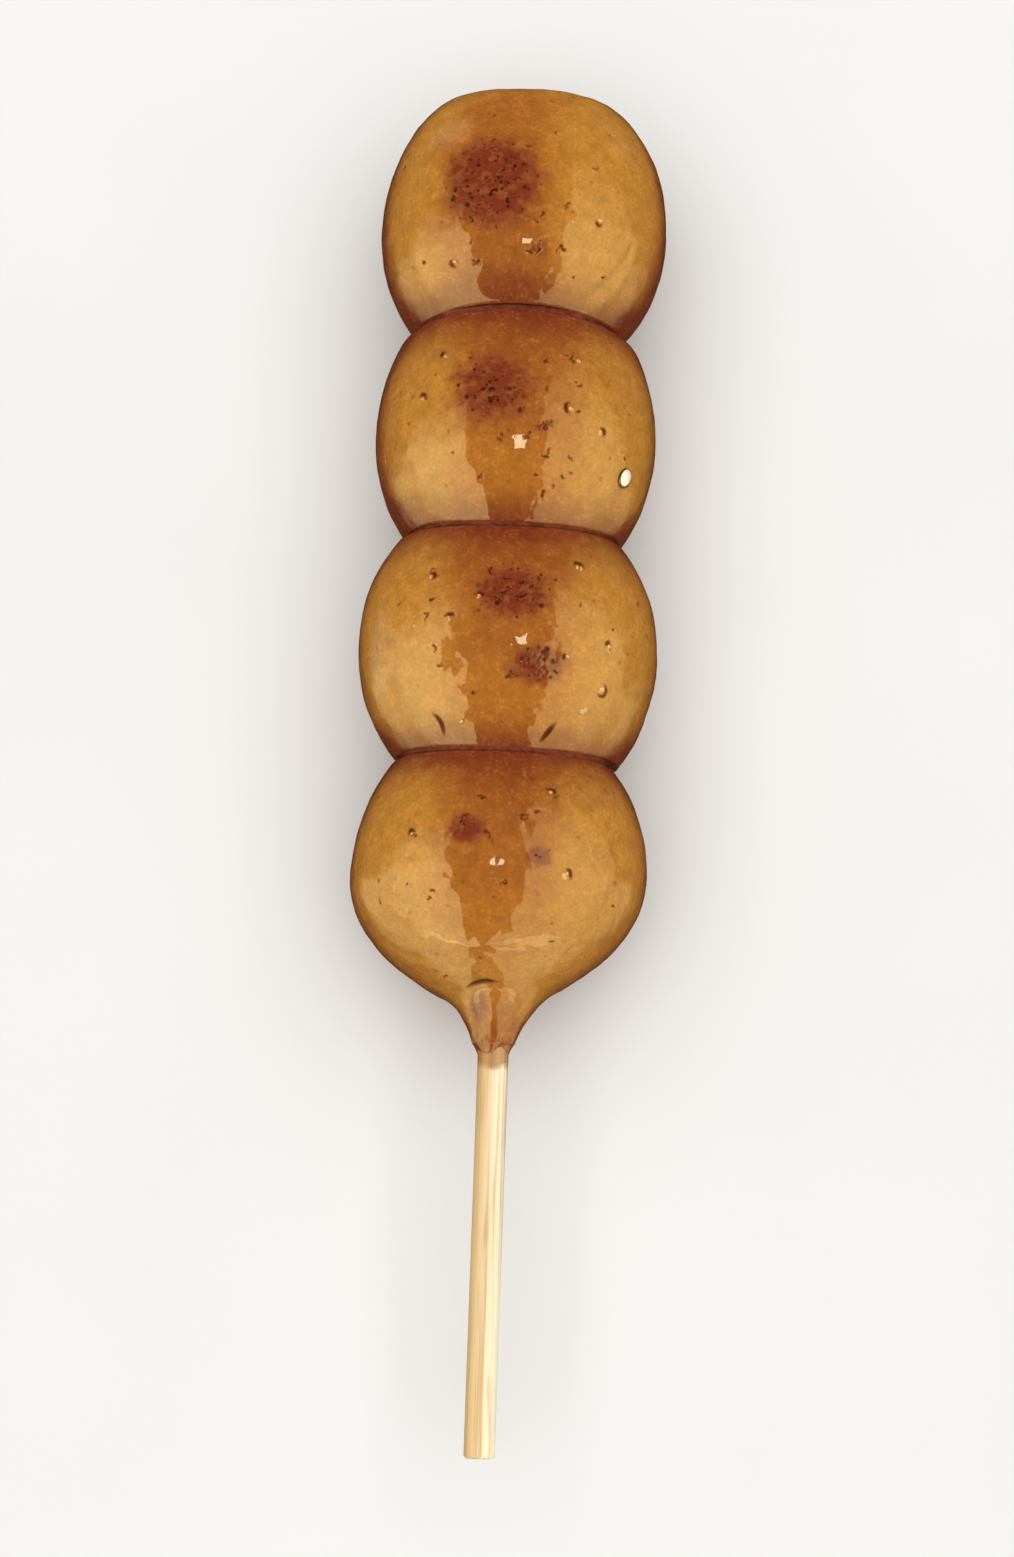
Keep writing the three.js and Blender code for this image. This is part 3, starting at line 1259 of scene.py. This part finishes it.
@dataclass(frozen=True)
class FlatLight:
    """A plain rectangular light that shines straight down, unless it is turned over."""

    name: str
    size: tuple[float, float]
    radiance: float
    colour: str
    place: tuple[float, float, float]
    glossy: bool = True  # it is for reflections alone, and otherwise for matt surfaces alone
    turn: float = 0.0  # about X, in degrees


@dataclass
class Studio:
    """The pale floor, the lights and the camera."""

    floor_radius: float = 4.5
    wall_height: float = 1.1
    wall_fillet: float = 0.5
    panels: tuple[SoftPanel, ...] = (
        SoftPanel("panel_left", (-0.29, 0.45, 0.6), (2.3, 0.0), 3.6, 4.0, 3.3, fade=0.15),
        SoftPanel("panel_right", (0.25, 0.75, 0.6), (2.3, 0.0), 3.9, -2.0, 2.3, "#ffeaa2", fade=0.2),
        SoftPanel("low_left", (-2.3, 0.2, 0.0), (2.3, -2.4), 3.5, 0.0, 1.6, fade=0.15, dim=0.0),
        SoftPanel("low_right", (2.3, 0.1, 0.0), (2.3, -2.4), 3.5, 0.0, 1.1, fade=0.15, dim=0.0),
        SoftPanel("end_left", (-2.4, -3.15, 0.6), (2.4, -2.0), 2.0, 90.0, 2.2, fade=0.3, dim=0.0),
        SoftPanel("end_right", (2.4, -3.15, 0.6), (2.4, -2.0), 2.0, -90.0, 2.0, fade=0.3, dim=0.0),
    )
    lights: tuple[FlatLight, ...] = (
        FlatLight("overhead_fill", (6.0, 6.0), 1.19, "#ffffff", (0.0, 0.3, 3.2), glossy=False),
        FlatLight("small_lamp", (0.034, 0.06), 11.0, "#fff1cf", (0.07, 0.035, 0.6)),
        FlatLight("warm_bounce", (6.0, 6.0), 0.2, "#a8643c", (0.0, 0.0, -0.4), turn=180.0),
    )
    room_colour: str = "#ffffff"
    room_strength: float = 0.35
    elevation: float = 80.0  # of the camera, in degrees
    roll: float = 2.0  # of the camera, in degrees
    distance: float = 0.3556
    look_at: tuple[float, float, float] = (0.0004, -0.0023, 0.014)
    lens: float = 72.1  # in millimetres, as a camera's lens is always stated

    def stage(self) -> None:
        """Makes the floor with its low round wall."""
        bm = bmesh.new()
        bmesh.ops.create_circle(bm, cap_ends=True, segments=96, radius=self.floor_radius)
        rim = list(bm.edges)
        made = bmesh.ops.extrude_edge_only(bm, edges=rim)["geom"]
        raised = [item for item in made if isinstance(item, bmesh.types.BMVert)]
        bmesh.ops.translate(bm, verts=raised, vec=(0.0, 0.0, self.wall_height))
        bmesh.ops.bevel(bm, geom=rim, offset=self.wall_fillet, segments=12, profile=0.5,
                        affect="EDGES", material=-1)
        bmesh.ops.recalc_face_normals(bm, faces=bm.faces)
        floor = make_object(bm, "floor", PaintedBoard().make())
        floor.visible_glossy = False

    def add_area(self, name: str, size: tuple[float, float], radiance: float, colour: str,
                 matrix: Matrix, glossy: bool) -> bpy.types.AreaLight:
        """Adds a soft rectangular light.

        Args:
            name: The light's name.
            size: Its sides along its own X and Y, in metres.
            radiance: How bright its surface is.
            colour: Its colour.
            matrix: Its place. It shines along its own -Z.
            glossy: Whether it is for reflections alone. Otherwise it is for matt surfaces alone.

        Returns:
            The light's data.
        """
        data = bpy.data.lights.new(name, "AREA")
        data.shape = "RECTANGLE"
        data.size, data.size_y = size
        data.energy = RADIANCE_TO_WATTS * radiance * size[0] * size[1]
        data.color = to_linear(colour)[:3]
        light = bpy.data.objects.new(name, data)
        light.matrix_world = matrix
        light.visible_camera = False
        light.visible_glossy = glossy
        light.visible_diffuse = not glossy
        bpy.context.scene.collection.objects.link(light)
        return data

    def add_panel(self, panel: SoftPanel) -> None:
        """Adds a panel that gets dim towards one end and towards its outer edge.

        Args:
            panel: The panel.
        """
        side = math.copysign(1.0, panel.inner[0])
        inner = Vector(panel.inner)
        outer = Vector((side * panel.outer[0], inner.y, panel.outer[1]))
        width = (outer - inner).length
        across = (outer - inner).normalized() * side
        along = Vector((0.0, 1.0, 0.0))
        middle = (inner + outer) / 2 - inner - along * panel.length / 2
        turn = Matrix.Rotation(math.radians(panel.turn), 4, "Z")
        axes = Matrix((across, along, across.cross(along))).transposed().to_4x4()
        matrix = Matrix.Translation(inner) @ turn @ Matrix.Translation(middle) @ axes
        data = self.add_area(panel.name, (width, panel.length), panel.radiance, panel.colour,
                             matrix, glossy=True)
        data.use_nodes = True
        tree = data.node_tree
        place = add_node(tree, "ShaderNodeNewGeometry").outputs["Parametric"]
        shares = add_node(tree, "ShaderNodeSeparateXYZ", None, {0: place})
        fade = add_node(tree, "ShaderNodeMapRange", {"interpolation_type": "SMOOTHSTEP"},
                        {"Value": shares.outputs["Y"], "From Min": 1.0, "From Max": 1 - panel.fade})
        inmost, outmost = (0.0, 1.0) if side > 0 else (1.0, 0.0)
        level = add_node(tree, "ShaderNodeMapRange", {"interpolation_type": "SMOOTHSTEP"},
                         {"Value": shares.outputs["X"],
                          "From Min": (1 - panel.hold) * inmost + panel.hold * outmost,
                          "From Max": outmost, "To Min": 1.0, "To Max": panel.dim})
        both = add_node(tree, "ShaderNodeMath", {"operation": "MULTIPLY"},
                        {0: fade.outputs["Result"], 1: level.outputs["Result"]})
        tree.links.new(both.outputs[0], tree.nodes["Emission"].inputs["Strength"])

    def light(self) -> None:
        """Lights the skewer with the panels, the flat lights and a soft room."""
        for panel in self.panels:
            self.add_panel(panel)
        for light in self.lights:
            turn = Matrix.Rotation(math.radians(light.turn), 4, "X")
            self.add_area(light.name, light.size, light.radiance, light.colour,
                          Matrix.Translation(light.place) @ turn, light.glossy)
        world = bpy.data.worlds.new("soft_room")
        bpy.context.scene.world = world
        world.use_nodes = True
        world.cycles_visibility.glossy = False
        set_inputs(world.node_tree, world.node_tree.nodes["Background"],
                   {"Color": to_linear(self.room_colour), "Strength": self.room_strength})

    def camera(self) -> None:
        """Sets the camera above the skewer, tipped a little towards the handle."""
        lift, lean = math.radians(self.elevation), math.radians(self.roll)
        ahead = Vector((0.0, math.cos(lift), -math.sin(lift)))
        level = Vector((1.0, 0.0, 0.0))
        upright = level.cross(ahead)
        right = level * math.cos(lean) + upright * math.sin(lean)
        above = -level * math.sin(lean) + upright * math.cos(lean)
        turn = Matrix((right, above, -ahead)).transposed().to_4x4()
        data = bpy.data.cameras.new("camera")
        data.lens = self.lens
        data.clip_start, data.clip_end = 0.01, 20.0
        camera = bpy.data.objects.new("camera", data)
        camera.matrix_world = Matrix.Translation(Vector(self.look_at) - ahead * self.distance) @ turn
        bpy.context.scene.collection.objects.link(camera)
        bpy.context.scene.camera = camera
        bpy.context.scene.view_settings.view_transform = "Standard"


@dataclass
class SyrupSeam:
    """The meniscus of syrup in the crease between two neighbours, as a ring round the stick."""

    name: str
    plane: float  # of the contact, along the stick
    bow: float = 0.0  # how far the contact bends to the handle at BOW_AT from the stick
    half: float = 0.34  # how far its edges reach from the contact plane
    fill: float = 0.0  # how high it stands in the bottom of the crease
    sunk: float = 0.05  # how deep its edges lie in the dumplings
    inner: float = 1.6  # how thick the ring is, towards the stick
    curve: float = 1.6  # how the meniscus rises from its middle to its edges
    core_half: float = 0.1  # how wide the ring is on its inner side, to each side
    probe: float = 0.3  # how far from the contact the crease's depth is felt
    shade_turn: Window = (0.75, 0.15)  # from an upward part of the way round to a lower one, over which the crease's painted shade grows
    lift: float = 0.02  # above the table, at least
    steps: int = 160  # of its mesh, round the stick
    rows: int = 9  # of its mesh, along the stick
    nominal: float = 12.0  # the ring's outer radius before it is fitted
    core: float = 10.0  # its inner radius then
    outside: float = 30.0  # a radius that is clear of the dumplings

    def bent_plane(self, angle: float, radius: float) -> float:
        """Where the contact is, along the stick, at an angle and a radius round it."""
        return self.plane - self.bow * (radius * math.cos(angle) / BOW_AT) ** 2

    def reach(self, axis: Vector, angle: float, y: float, tree: BVHTree) -> float:
        """How far from the stick's axis a dumpling's surface is.

        Args:
            axis: A point of the stick's axis, in millimetres.
            angle: The way round the stick, in radians.
            y: The place along the stick.
            tree: The dumpling, in metres.

        Returns:
            The distance, in millimetres.
        """
        way = Vector((math.cos(angle), 0.0, math.sin(angle)))
        start = (Vector((axis.x, y, axis.z)) + way * self.outside) * MM
        place, _, _, distance = tree.ray_cast(start, -way)
        return self.nominal if place is None else self.outside - distance / MM

    def ring(self) -> bmesh.types.BMesh:
        """Makes the plain ring, before it is fitted.

        Returns:
            The ring, in millimetres and round the Y axis.
        """
        bm = bmesh.new()
        offsets = [self.half * (2 * k / (self.rows - 1) - 1) for k in range(self.rows)]
        outer = [bm.verts.new((self.nominal, self.plane + offset, 0.0)) for offset in offsets]
        inner = [bm.verts.new((self.core, self.plane + side * self.core_half, 0.0)) for side in (1, -1)]
        loop = outer + inner
        edges = [bm.edges.new((a, b)) for a, b in zip(loop, loop[1:] + loop[:1])]
        bmesh.ops.spin(bm, geom=loop + edges, cent=(0.0, 0.0, 0.0), axis=(0.0, 1.0, 0.0),
                       angle=2 * math.pi, steps=self.steps, use_merge=True)
        bmesh.ops.remove_doubles(bm, verts=bm.verts, dist=1e-4)
        return bm

    def build(self, axis: Vector, ahead: BVHTree, behind: BVHTree) -> bmesh.types.BMesh:
        """Makes the ring, fitted between the dumplings.

        Args:
            axis: A point of the stick's axis, in millimetres.
            ahead: The dumpling on the tip's side, in metres.
            behind: The dumpling on the handle's side, in metres.

        Returns:
            The shape, in metres and in place, with its fields.
        """
        bm = self.ring()
        crevice_shade = bm.verts.layers.float.new(Field.CREVICE_SHADE.value)
        for vert in bm.verts:
            angle = math.atan2(vert.co.z, vert.co.x)
            offset = vert.co.y - self.plane
            plane = self.bent_plane(angle, self.nominal)
            low = min(self.reach(axis, angle, plane + self.probe, ahead),
                      self.reach(axis, angle, plane - self.probe, behind))
            if math.hypot(vert.co.x, vert.co.z) < (self.nominal + self.core) / 2:
                radius = low - self.inner
            else:
                tree = ahead if offset > 0 else behind
                edge = self.reach(axis, angle, plane + math.copysign(self.half, offset), tree) - self.sunk
                middle = low + self.fill
                radius = middle + (edge - middle) * (abs(offset) / self.half) ** self.curve
            # painted shade: the crease is darker on its sides and underneath
            vert[crevice_shade] = smooth_step(*self.shade_turn, math.sin(angle))
            plane = self.bent_plane(angle, radius)
            vert.co = Vector((axis.x + radius * math.cos(angle), plane + offset,
                              axis.z + radius * math.sin(angle)))
            vert.co.z = max(vert.co.z, self.lift)
        bmesh.ops.recalc_face_normals(bm, faces=bm.faces)
        bmesh.ops.scale(bm, verts=bm.verts, vec=(MM, MM, MM))
        return bm


@dataclass
class AirBubble:
    """A blister of syrup over a trapped air bubble, with a ring of painted shade round its foot."""

    x: float
    y: float
    across: float = 1.9
    along: float = 2.4
    rise: float = 0.62
    turn: float = -16.0  # of its long side from the skewer's, in degrees
    foot: float = 0.12  # how far the skin rises at its foot, as a share of the rise
    foot_level: Window = (0.8, 1.0)  # from its middle, as a share of its half width
    shade_ring_height: float = 0.66  # of the painted shade ring round it, as a share of the rise
    shade_ring_lean: float = 0.24  # how much higher the painted shade ring is on the right, and lower on the left
    shade_ring_soft: float = 0.14
    clear: float = 40.0  # a height above the stick that is clear of the dumpling

    def build(self, centre: Vector, tree: BVHTree) -> bmesh.types.BMesh:
        """Makes the blister on a dumpling.

        Args:
            centre: The middle of the dumpling's widest section, in millimetres.
            tree: The dumpling, in metres.

        Returns:
            The shape, in metres and in place.
        """
        above = (centre + Vector((self.x, self.y, self.clear))) * MM
        place, normal, _, _ = tree.ray_cast(above, -UP)
        bm = bmesh.new()
        bmesh.ops.create_icosphere(bm, subdivisions=5, radius=1.0)
        # painted shade round the bubble's foot, higher on the right
        rim = bm.verts.layers.float.new(Field.CREVICE_SHADE.value)
        for vert in bm.verts:
            level = math.hypot(vert.co.x, vert.co.y)
            edge = self.shade_ring_height + self.shade_ring_lean * vert.co.x / max(level, 0.1)
            vert[rim] = smooth_step(edge, edge - self.shade_ring_soft, vert.co.z)
            vert.co.z += self.foot * smooth_step(*self.foot_level, level)
        bmesh.ops.scale(bm, verts=bm.verts,
                        vec=(self.across / 2 * MM, self.along / 2 * MM, self.rise * MM))
        across, along = tangents(normal)
        axes = Matrix((across, along, normal)).transposed().to_4x4()
        turn = Matrix.Rotation(math.radians(self.turn), 4, "Z")
        bmesh.ops.transform(bm, matrix=Matrix.Translation(place) @ axes @ turn, verts=bm.verts)
        return bm


@dataclass
class BambooStick:
    """The bare round stick, with a soft chamfer at the handle's end and a point at the other."""

    sides: int = 56
    chamfer: float = 0.45
    point_length: float = 11.0
    point_radius: float = 0.6
    ridge: float = 0.02  # of the fibres that stand proud
    ridge_pitch: tuple[float, float] = (2.4, 0.03)  # about how many in a millimetre, across and along
    ridge_sink: float = 0.6  # how far below the stick's round they start, in ridges
    bow: float = 0.5  # how uneven the stick is along its length, in ridges
    bow_pitch: float = 0.02  # about how many such bows in a millimetre
    skin: float = 0.8  # the share of the radius from which a vertex is on the outside
    step: float = 1.5  # between the rings of its mesh
    wet_from: float = 0.0  # where the collar's rim is, along the stick
    wet_run: float = 5.0  # how far syrup has crept along the wood past the collar

    def build(self, low: Vector, high: Vector) -> bmesh.types.BMesh:
        """Makes the stick.

        Args:
            low: The lowest corner of its box, in millimetres.
            high: The highest corner of its box.

        Returns:
            The shape, in metres and in place, with its fields.
        """
        radius = (high.x - low.x) / 2
        axis = Vector(((low.x + high.x) / 2, 0.0, (low.z + high.z) / 2))
        length = high.y - low.y
        body = length - self.point_length
        bm = bmesh.new()
        bmesh.ops.create_circle(bm, cap_ends=True, segments=self.sides, radius=radius)
        bmesh.ops.rotate(bm, verts=bm.verts, cent=(0.0, 0.0, 0.0),
                         matrix=Matrix.Rotation(math.radians(-90), 3, "X"))
        cap = list(bm.faces)
        first_ring = list(bm.edges)
        reached = 0.0
        for target, size in ((body, radius), (length, self.point_radius)):
            made = bmesh.ops.extrude_face_region(bm, geom=cap, use_keep_orig=reached == 0.0)["geom"]
            cap = [item for item in made if isinstance(item, bmesh.types.BMFace)]
            verts = [item for item in made if isinstance(item, bmesh.types.BMVert)]
            bmesh.ops.translate(bm, verts=verts, vec=(0.0, target - reached, 0.0))
            share = size / radius
            bmesh.ops.scale(bm, verts=verts, vec=(share, 1.0, share))
            reached = target
        bmesh.ops.recalc_face_normals(bm, faces=bm.faces)
        handle_rim = [e for e in first_ring if e.is_valid]
        bmesh.ops.bevel(bm, geom=handle_rim, offset=self.chamfer, segments=4, profile=0.5,
                        affect="EDGES", material=-1)
        for k in range(1, int(body / self.step)):
            geom = list(bm.verts) + list(bm.edges) + list(bm.faces)
            bmesh.ops.bisect_plane(bm, geom=geom, plane_co=(0.0, k * self.step, 0.0),
                                   plane_no=(0.0, 1.0, 0.0))
        wetness = bm.verts.layers.float.new(Field.SYRUP.value)
        wet_from = self.wet_from - low.y
        across, along = self.ridge_pitch
        for vert in bm.verts:
            out = Vector((vert.co.x, 0.0, vert.co.z))
            if out.length > self.skin * radius:
                fibre = noise.noise(Vector((vert.co.x * across, vert.co.y * along, vert.co.z * across)))
                bow = noise.noise(Vector((3.0, vert.co.y * self.bow_pitch, 1.0)))
                vert.co += out.normalized() * self.ridge * (fibre - self.ridge_sink + self.bow * bow)
            vert[wetness] = smooth_step(wet_from - self.wet_run, wet_from, vert.co.y)
        bmesh.ops.translate(bm, verts=bm.verts, vec=(axis.x, low.y, axis.z))
        bmesh.ops.scale(bm, verts=bm.verts, vec=(MM, MM, MM))
        return bm


@dataclass
class Skewer:
    """The whole dango skewer: its dumplings from the tip to the handle, and its stick."""

    dumplings: tuple[Dumpling, ...]
    bubble: AirBubble
    bubble_on: int  # the index of the dumpling with the bubble

    def assemble(self) -> None:
        """Builds, dresses and places every piece."""
        low, high = (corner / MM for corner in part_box("stick"))
        axis = Vector(((low.x + high.x) / 2, 0.0, (low.z + high.z) / 2))
        reached = CAD_BOX[1].y / MM
        dough, set_syrup = GlazedDough().make(), SetSyrup().make()
        trees: list[BVHTree] = []
        centres: list[Vector] = []
        planes: list[float] = []
        for dumpling in self.dumplings:
            centre = Vector((axis.x + dumpling.shift, reached - dumpling.front, axis.z))
            bm = dumpling.build(centre)
            trees.append(BVHTree.FromBMesh(bm))
            centres.append(centre)
            node = f"dumpling_{dumpling.number}"
            hand_over(bm, f"glazed_{node}", dough, (node,))
            reached -= dumpling.front + dumpling.back
            planes.append(reached)
        for k, plane in enumerate(planes[:-1]):
            seam = SyrupSeam(f"syrup_seam_{k + 1}", plane, self.dumplings[k].back_bow)
            bm = seam.build(axis, trees[k], trees[k + 1])
            hand_over(bm, seam.name, set_syrup)
        bm = self.bubble.build(centres[self.bubble_on], trees[self.bubble_on])
        hand_over(bm, "syrup_bubble", ThinSyrupSkin().make())
        rim = planes[-1] - self.dumplings[-1].roll.collar_length
        bm = BambooStick(wet_from=rim).build(low, high)
        hand_over(bm, "bamboo_stick", TurnedBamboo().make(axis * MM), ("stick",))


def four_dumplings() -> tuple[Dumpling, ...]:
    """Sets out the dumplings, each with its own marks; the pale crumbs are partly painted glints.

    Returns:
        The dumplings, from the stick's point to its handle.
    """
    return (
        Dumpling(
            1, front=16.2, back=11.4, front_swell=17.2, back_swell=17.4, width=33.8, crown=14.3,
            shift=0.3, front_taper=0.32, front_pressed=False, toast_at=-3.0,
            clear_behind=-12.5, back_bow=1.0, flanks=(0.35, 0.35), pores_per_mm2=1.0,
            patches=(Patch(-3.9, 2.2, 12.2, 12.0, 0.9), Patch(1.8, -5.6, 2.4, 2.4, 0.35),
                     # painted sheen: the two pale patches high on its sides
                     Patch(-9.0, 9.0, 13.0, 8.0, 0.45, Field.PALE_CRUMB_AND_SHEEN),
                     Patch(10.5, 8.5, 7.0, 8.0, 0.4, Field.PALE_CRUMB_AND_SHEEN)),
            blemishes=(Blemish(4.8, -0.4, 1.0, 3), Blemish(1.7, -5.3, 1.5, 5),
                       Blemish(4.2, -5.3, 1.2, 2, 0.08),
                       Blemish(3.2, 8.7, 1.2, 1, 0.05), Blemish(7.9, 4.9, 1.1, 1, 0.07),
                       Blemish(1.9, -2.4, 1.0, 1, 0.05), Blemish(-5.3, -7.3, 1.3, 3),
                       Blemish(-4.5, 10.8, 1.5, 2, 0.05), Blemish(-7.8, -7.1, 1.2, 0, 0.05, 0.5, 200.0),
                       Blemish(8.5, -1.6, 1.2, 0, 0.05, 0.6, 250.0), Blemish(5.3, -2.1, 0.0, 0, 0.0, 0.4)),
            creases=(Crease((6.4, -10.4), (11.0, -8.4), (12.4, -3.4), 1.1, 0.2, 0.1),
                     Crease((-2.6, -9.2), (-2.6, -10.0), (-2.6, -10.9), 3.4, -0.075, 0.0),
                     Crease((1.7, -9.2), (1.7, -10.0), (1.7, -10.9), 3.2, -0.075, 0.0)),
        ),
        Dumpling(
            2, front=13.4, back=12.2, front_swell=20.0, back_swell=18.4, width=32.8, crown=13.9,
            shift=0.0, steeped=0.32, front_bow=1.0, flanks=(0.35, 0.0), pores_per_mm2=1.35,
            patches=(Patch(-2.7, 3.0, 10.2, 9.6, 0.66), Patch(3.0, -1.6, 1.8, 1.4, 0.5)),
            blemishes=(Blemish(6.1, 7.0, 1.2, 4), Blemish(7.0, 6.7, 0.0, 0, 0.0, 0.6),
                       Blemish(2.9, 6.2, 1.0, 2, 0.06), Blemish(7.0, 4.0, 0.9, 2, 0.06),
                       Blemish(3.3, 2.8, 1.2, 1, 0.04), Blemish(6.1, 0.9, 1.9, 0, 0.1, 0.7, 180.0),
                       Blemish(7.1, 0.8, 0.5, 1, 0.06), Blemish(3.3, -0.9, 1.7, 3, 0.08),
                       Blemish(9.6, -1.4, 1.4, 0, 0.1, 0.75, 20.0), Blemish(1.4, -2.7, 0.8, 3),
                       Blemish(3.5, -4.8, 1.1, 3), Blemish(3.1, -8.8, 0.9, 3),
                       Blemish(6.6, -4.3, 1.3, 2, 0.04), Blemish(2.2, -7.1, 1.0, 1, 0.04),
                       Blemish(-10.5, 1.9, 1.2, 1, 0.08, 0.5, 90.0),
                       Blemish(-8.2, 6.9, 1.0, 0, 0.08, 0.5, 150.0), Blemish(-7.9, -2.3, 1.2, 1, 0.04),
                       Blemish(-3.6, -7.4, 0.8, 2, 0.06), Blemish(-1.8, -3.1, 1.2, 2, 0.08)),
        ),
        Dumpling(
            3, front=12.8, back=13.0, front_swell=18.8, back_swell=19.4, width=34.0, crown=14.4,
            shift=0.2, pores_per_mm2=1.4,
            patches=(Patch(0.1, 4.3, 8.9, 7.2, 0.74), Patch(3.2, -4.0, 7.4, 5.2, 0.72),
                     # painted sheen: the pale rim along its left side
                     Patch(-14.4, -2.0, 5.0, 16.0, 0.5, Field.PALE_CRUMB_AND_SHEEN),
                     Patch(-1.0, -11.2, 7.0, 4.0, 0.4, Field.SYRUP)),
            blemishes=(Blemish(7.5, 7.7, 2.0, 0, 0.08, 0.75, 75.0),
                       Blemish(10.4, -5.9, 2.4, 0, 0.12, 1.0, -30.0),
                       Blemish(11.0, -1.3, 0.7, 1, 0.06, 0.8, 100.0), Blemish(8.5, -8.4, 0.0, 0, 0.0, 0.9),
                       Blemish(6.5, -2.8, 0.8, 0, 0.06, 0.5, 180.0), Blemish(7.9, 2.8, 0.8, 1, 0.05),
                       Blemish(11.5, 0.9, 0.5, 1, 0.05), Blemish(-9.0, 6.0, 1.6, 1, 0.08, 0.5, 30.0),
                       Blemish(-8.8, 3.5, 0.9, 1, 0.07), Blemish(-12.4, 3.2, 0.7, 1, 0.05),
                       Blemish(-9.4, 1.3, 1.0, 3), Blemish(-6.7, 1.0, 1.6, 0, 0.09, 0.6, 90.0),
                       Blemish(-3.5, 3.5, 1.5, 0, 0.08, 0.5, 60.0), Blemish(-8.1, -2.1, 0.8, 2, 0.07),
                       Blemish(-7.6, -4.4, 1.3, 2, 0.08), Blemish(-5.0, -10.3, 0.0, 0, 0.0, 0.45),
                       Blemish(-10.7, 0.4, 0.0, 0, 0.0, 0.4)),
            creases=(Crease((-8.3, -9.3), (-7.0, -10.0), (-6.9, -11.7), 0.24, 0.09),
                     Crease((5.4, -10.0), (4.6, -11.0), (3.8, -12.0), 0.26, 0.12),
                     Crease((-5.5, -1.4), (-6.0, -3.2), (-5.4, -5.0), 2.4, 0.17, 0.0)),
        ),
        Dumpling(
            4, front=13.2, back=15.6, front_swell=19.6, back_swell=15.6, width=33.2, crown=14.0,
            shift=-0.1, back_taper=0.8, back_pressed=False,
            patches=(Patch(-3.6, 3.6, 4.6, 3.8, 0.7), Patch(4.4, 1.0, 3.4, 3.2, 0.6),
                     Patch(-1.6, -14.8, 2.6, 5.0, 0.8, Field.SYRUP)),
            blemishes=(Blemish(5.4, 8.2, 1.6, 1, 0.08, 0.6, 60.0), Blemish(-2.2, 7.4, 1.3, 2, 0.07),
                       Blemish(-1.2, 2.4, 1.2, 2), Blemish(7.4, -1.0, 1.5, 0, 0.1, 0.8, 30.0),
                       Blemish(-7.4, -3.6, 1.3, 2, 0.07), Blemish(0.6, -2.2, 1.0, 2),
                       Blemish(2.0, 5.2, 1.2, 2, 0.06), Blemish(-9.6, 3.0, 1.3, 1, 0.05, 0.5, 120.0)),
            creases=(Crease((-3.0, -12.9), (-1.5, -12.0), (0.4, -12.3), 0.32, 0.08),),
        ),
    )


def main() -> None:
    """Sets the studio up and builds the skewer in it."""
    studio = Studio()
    studio.camera()
    studio.stage()
    studio.light()
    Skewer(four_dumplings(), AirBubble(12.6, -5.8), bubble_on=1).assemble()


if __name__ == "__main__":
    main()
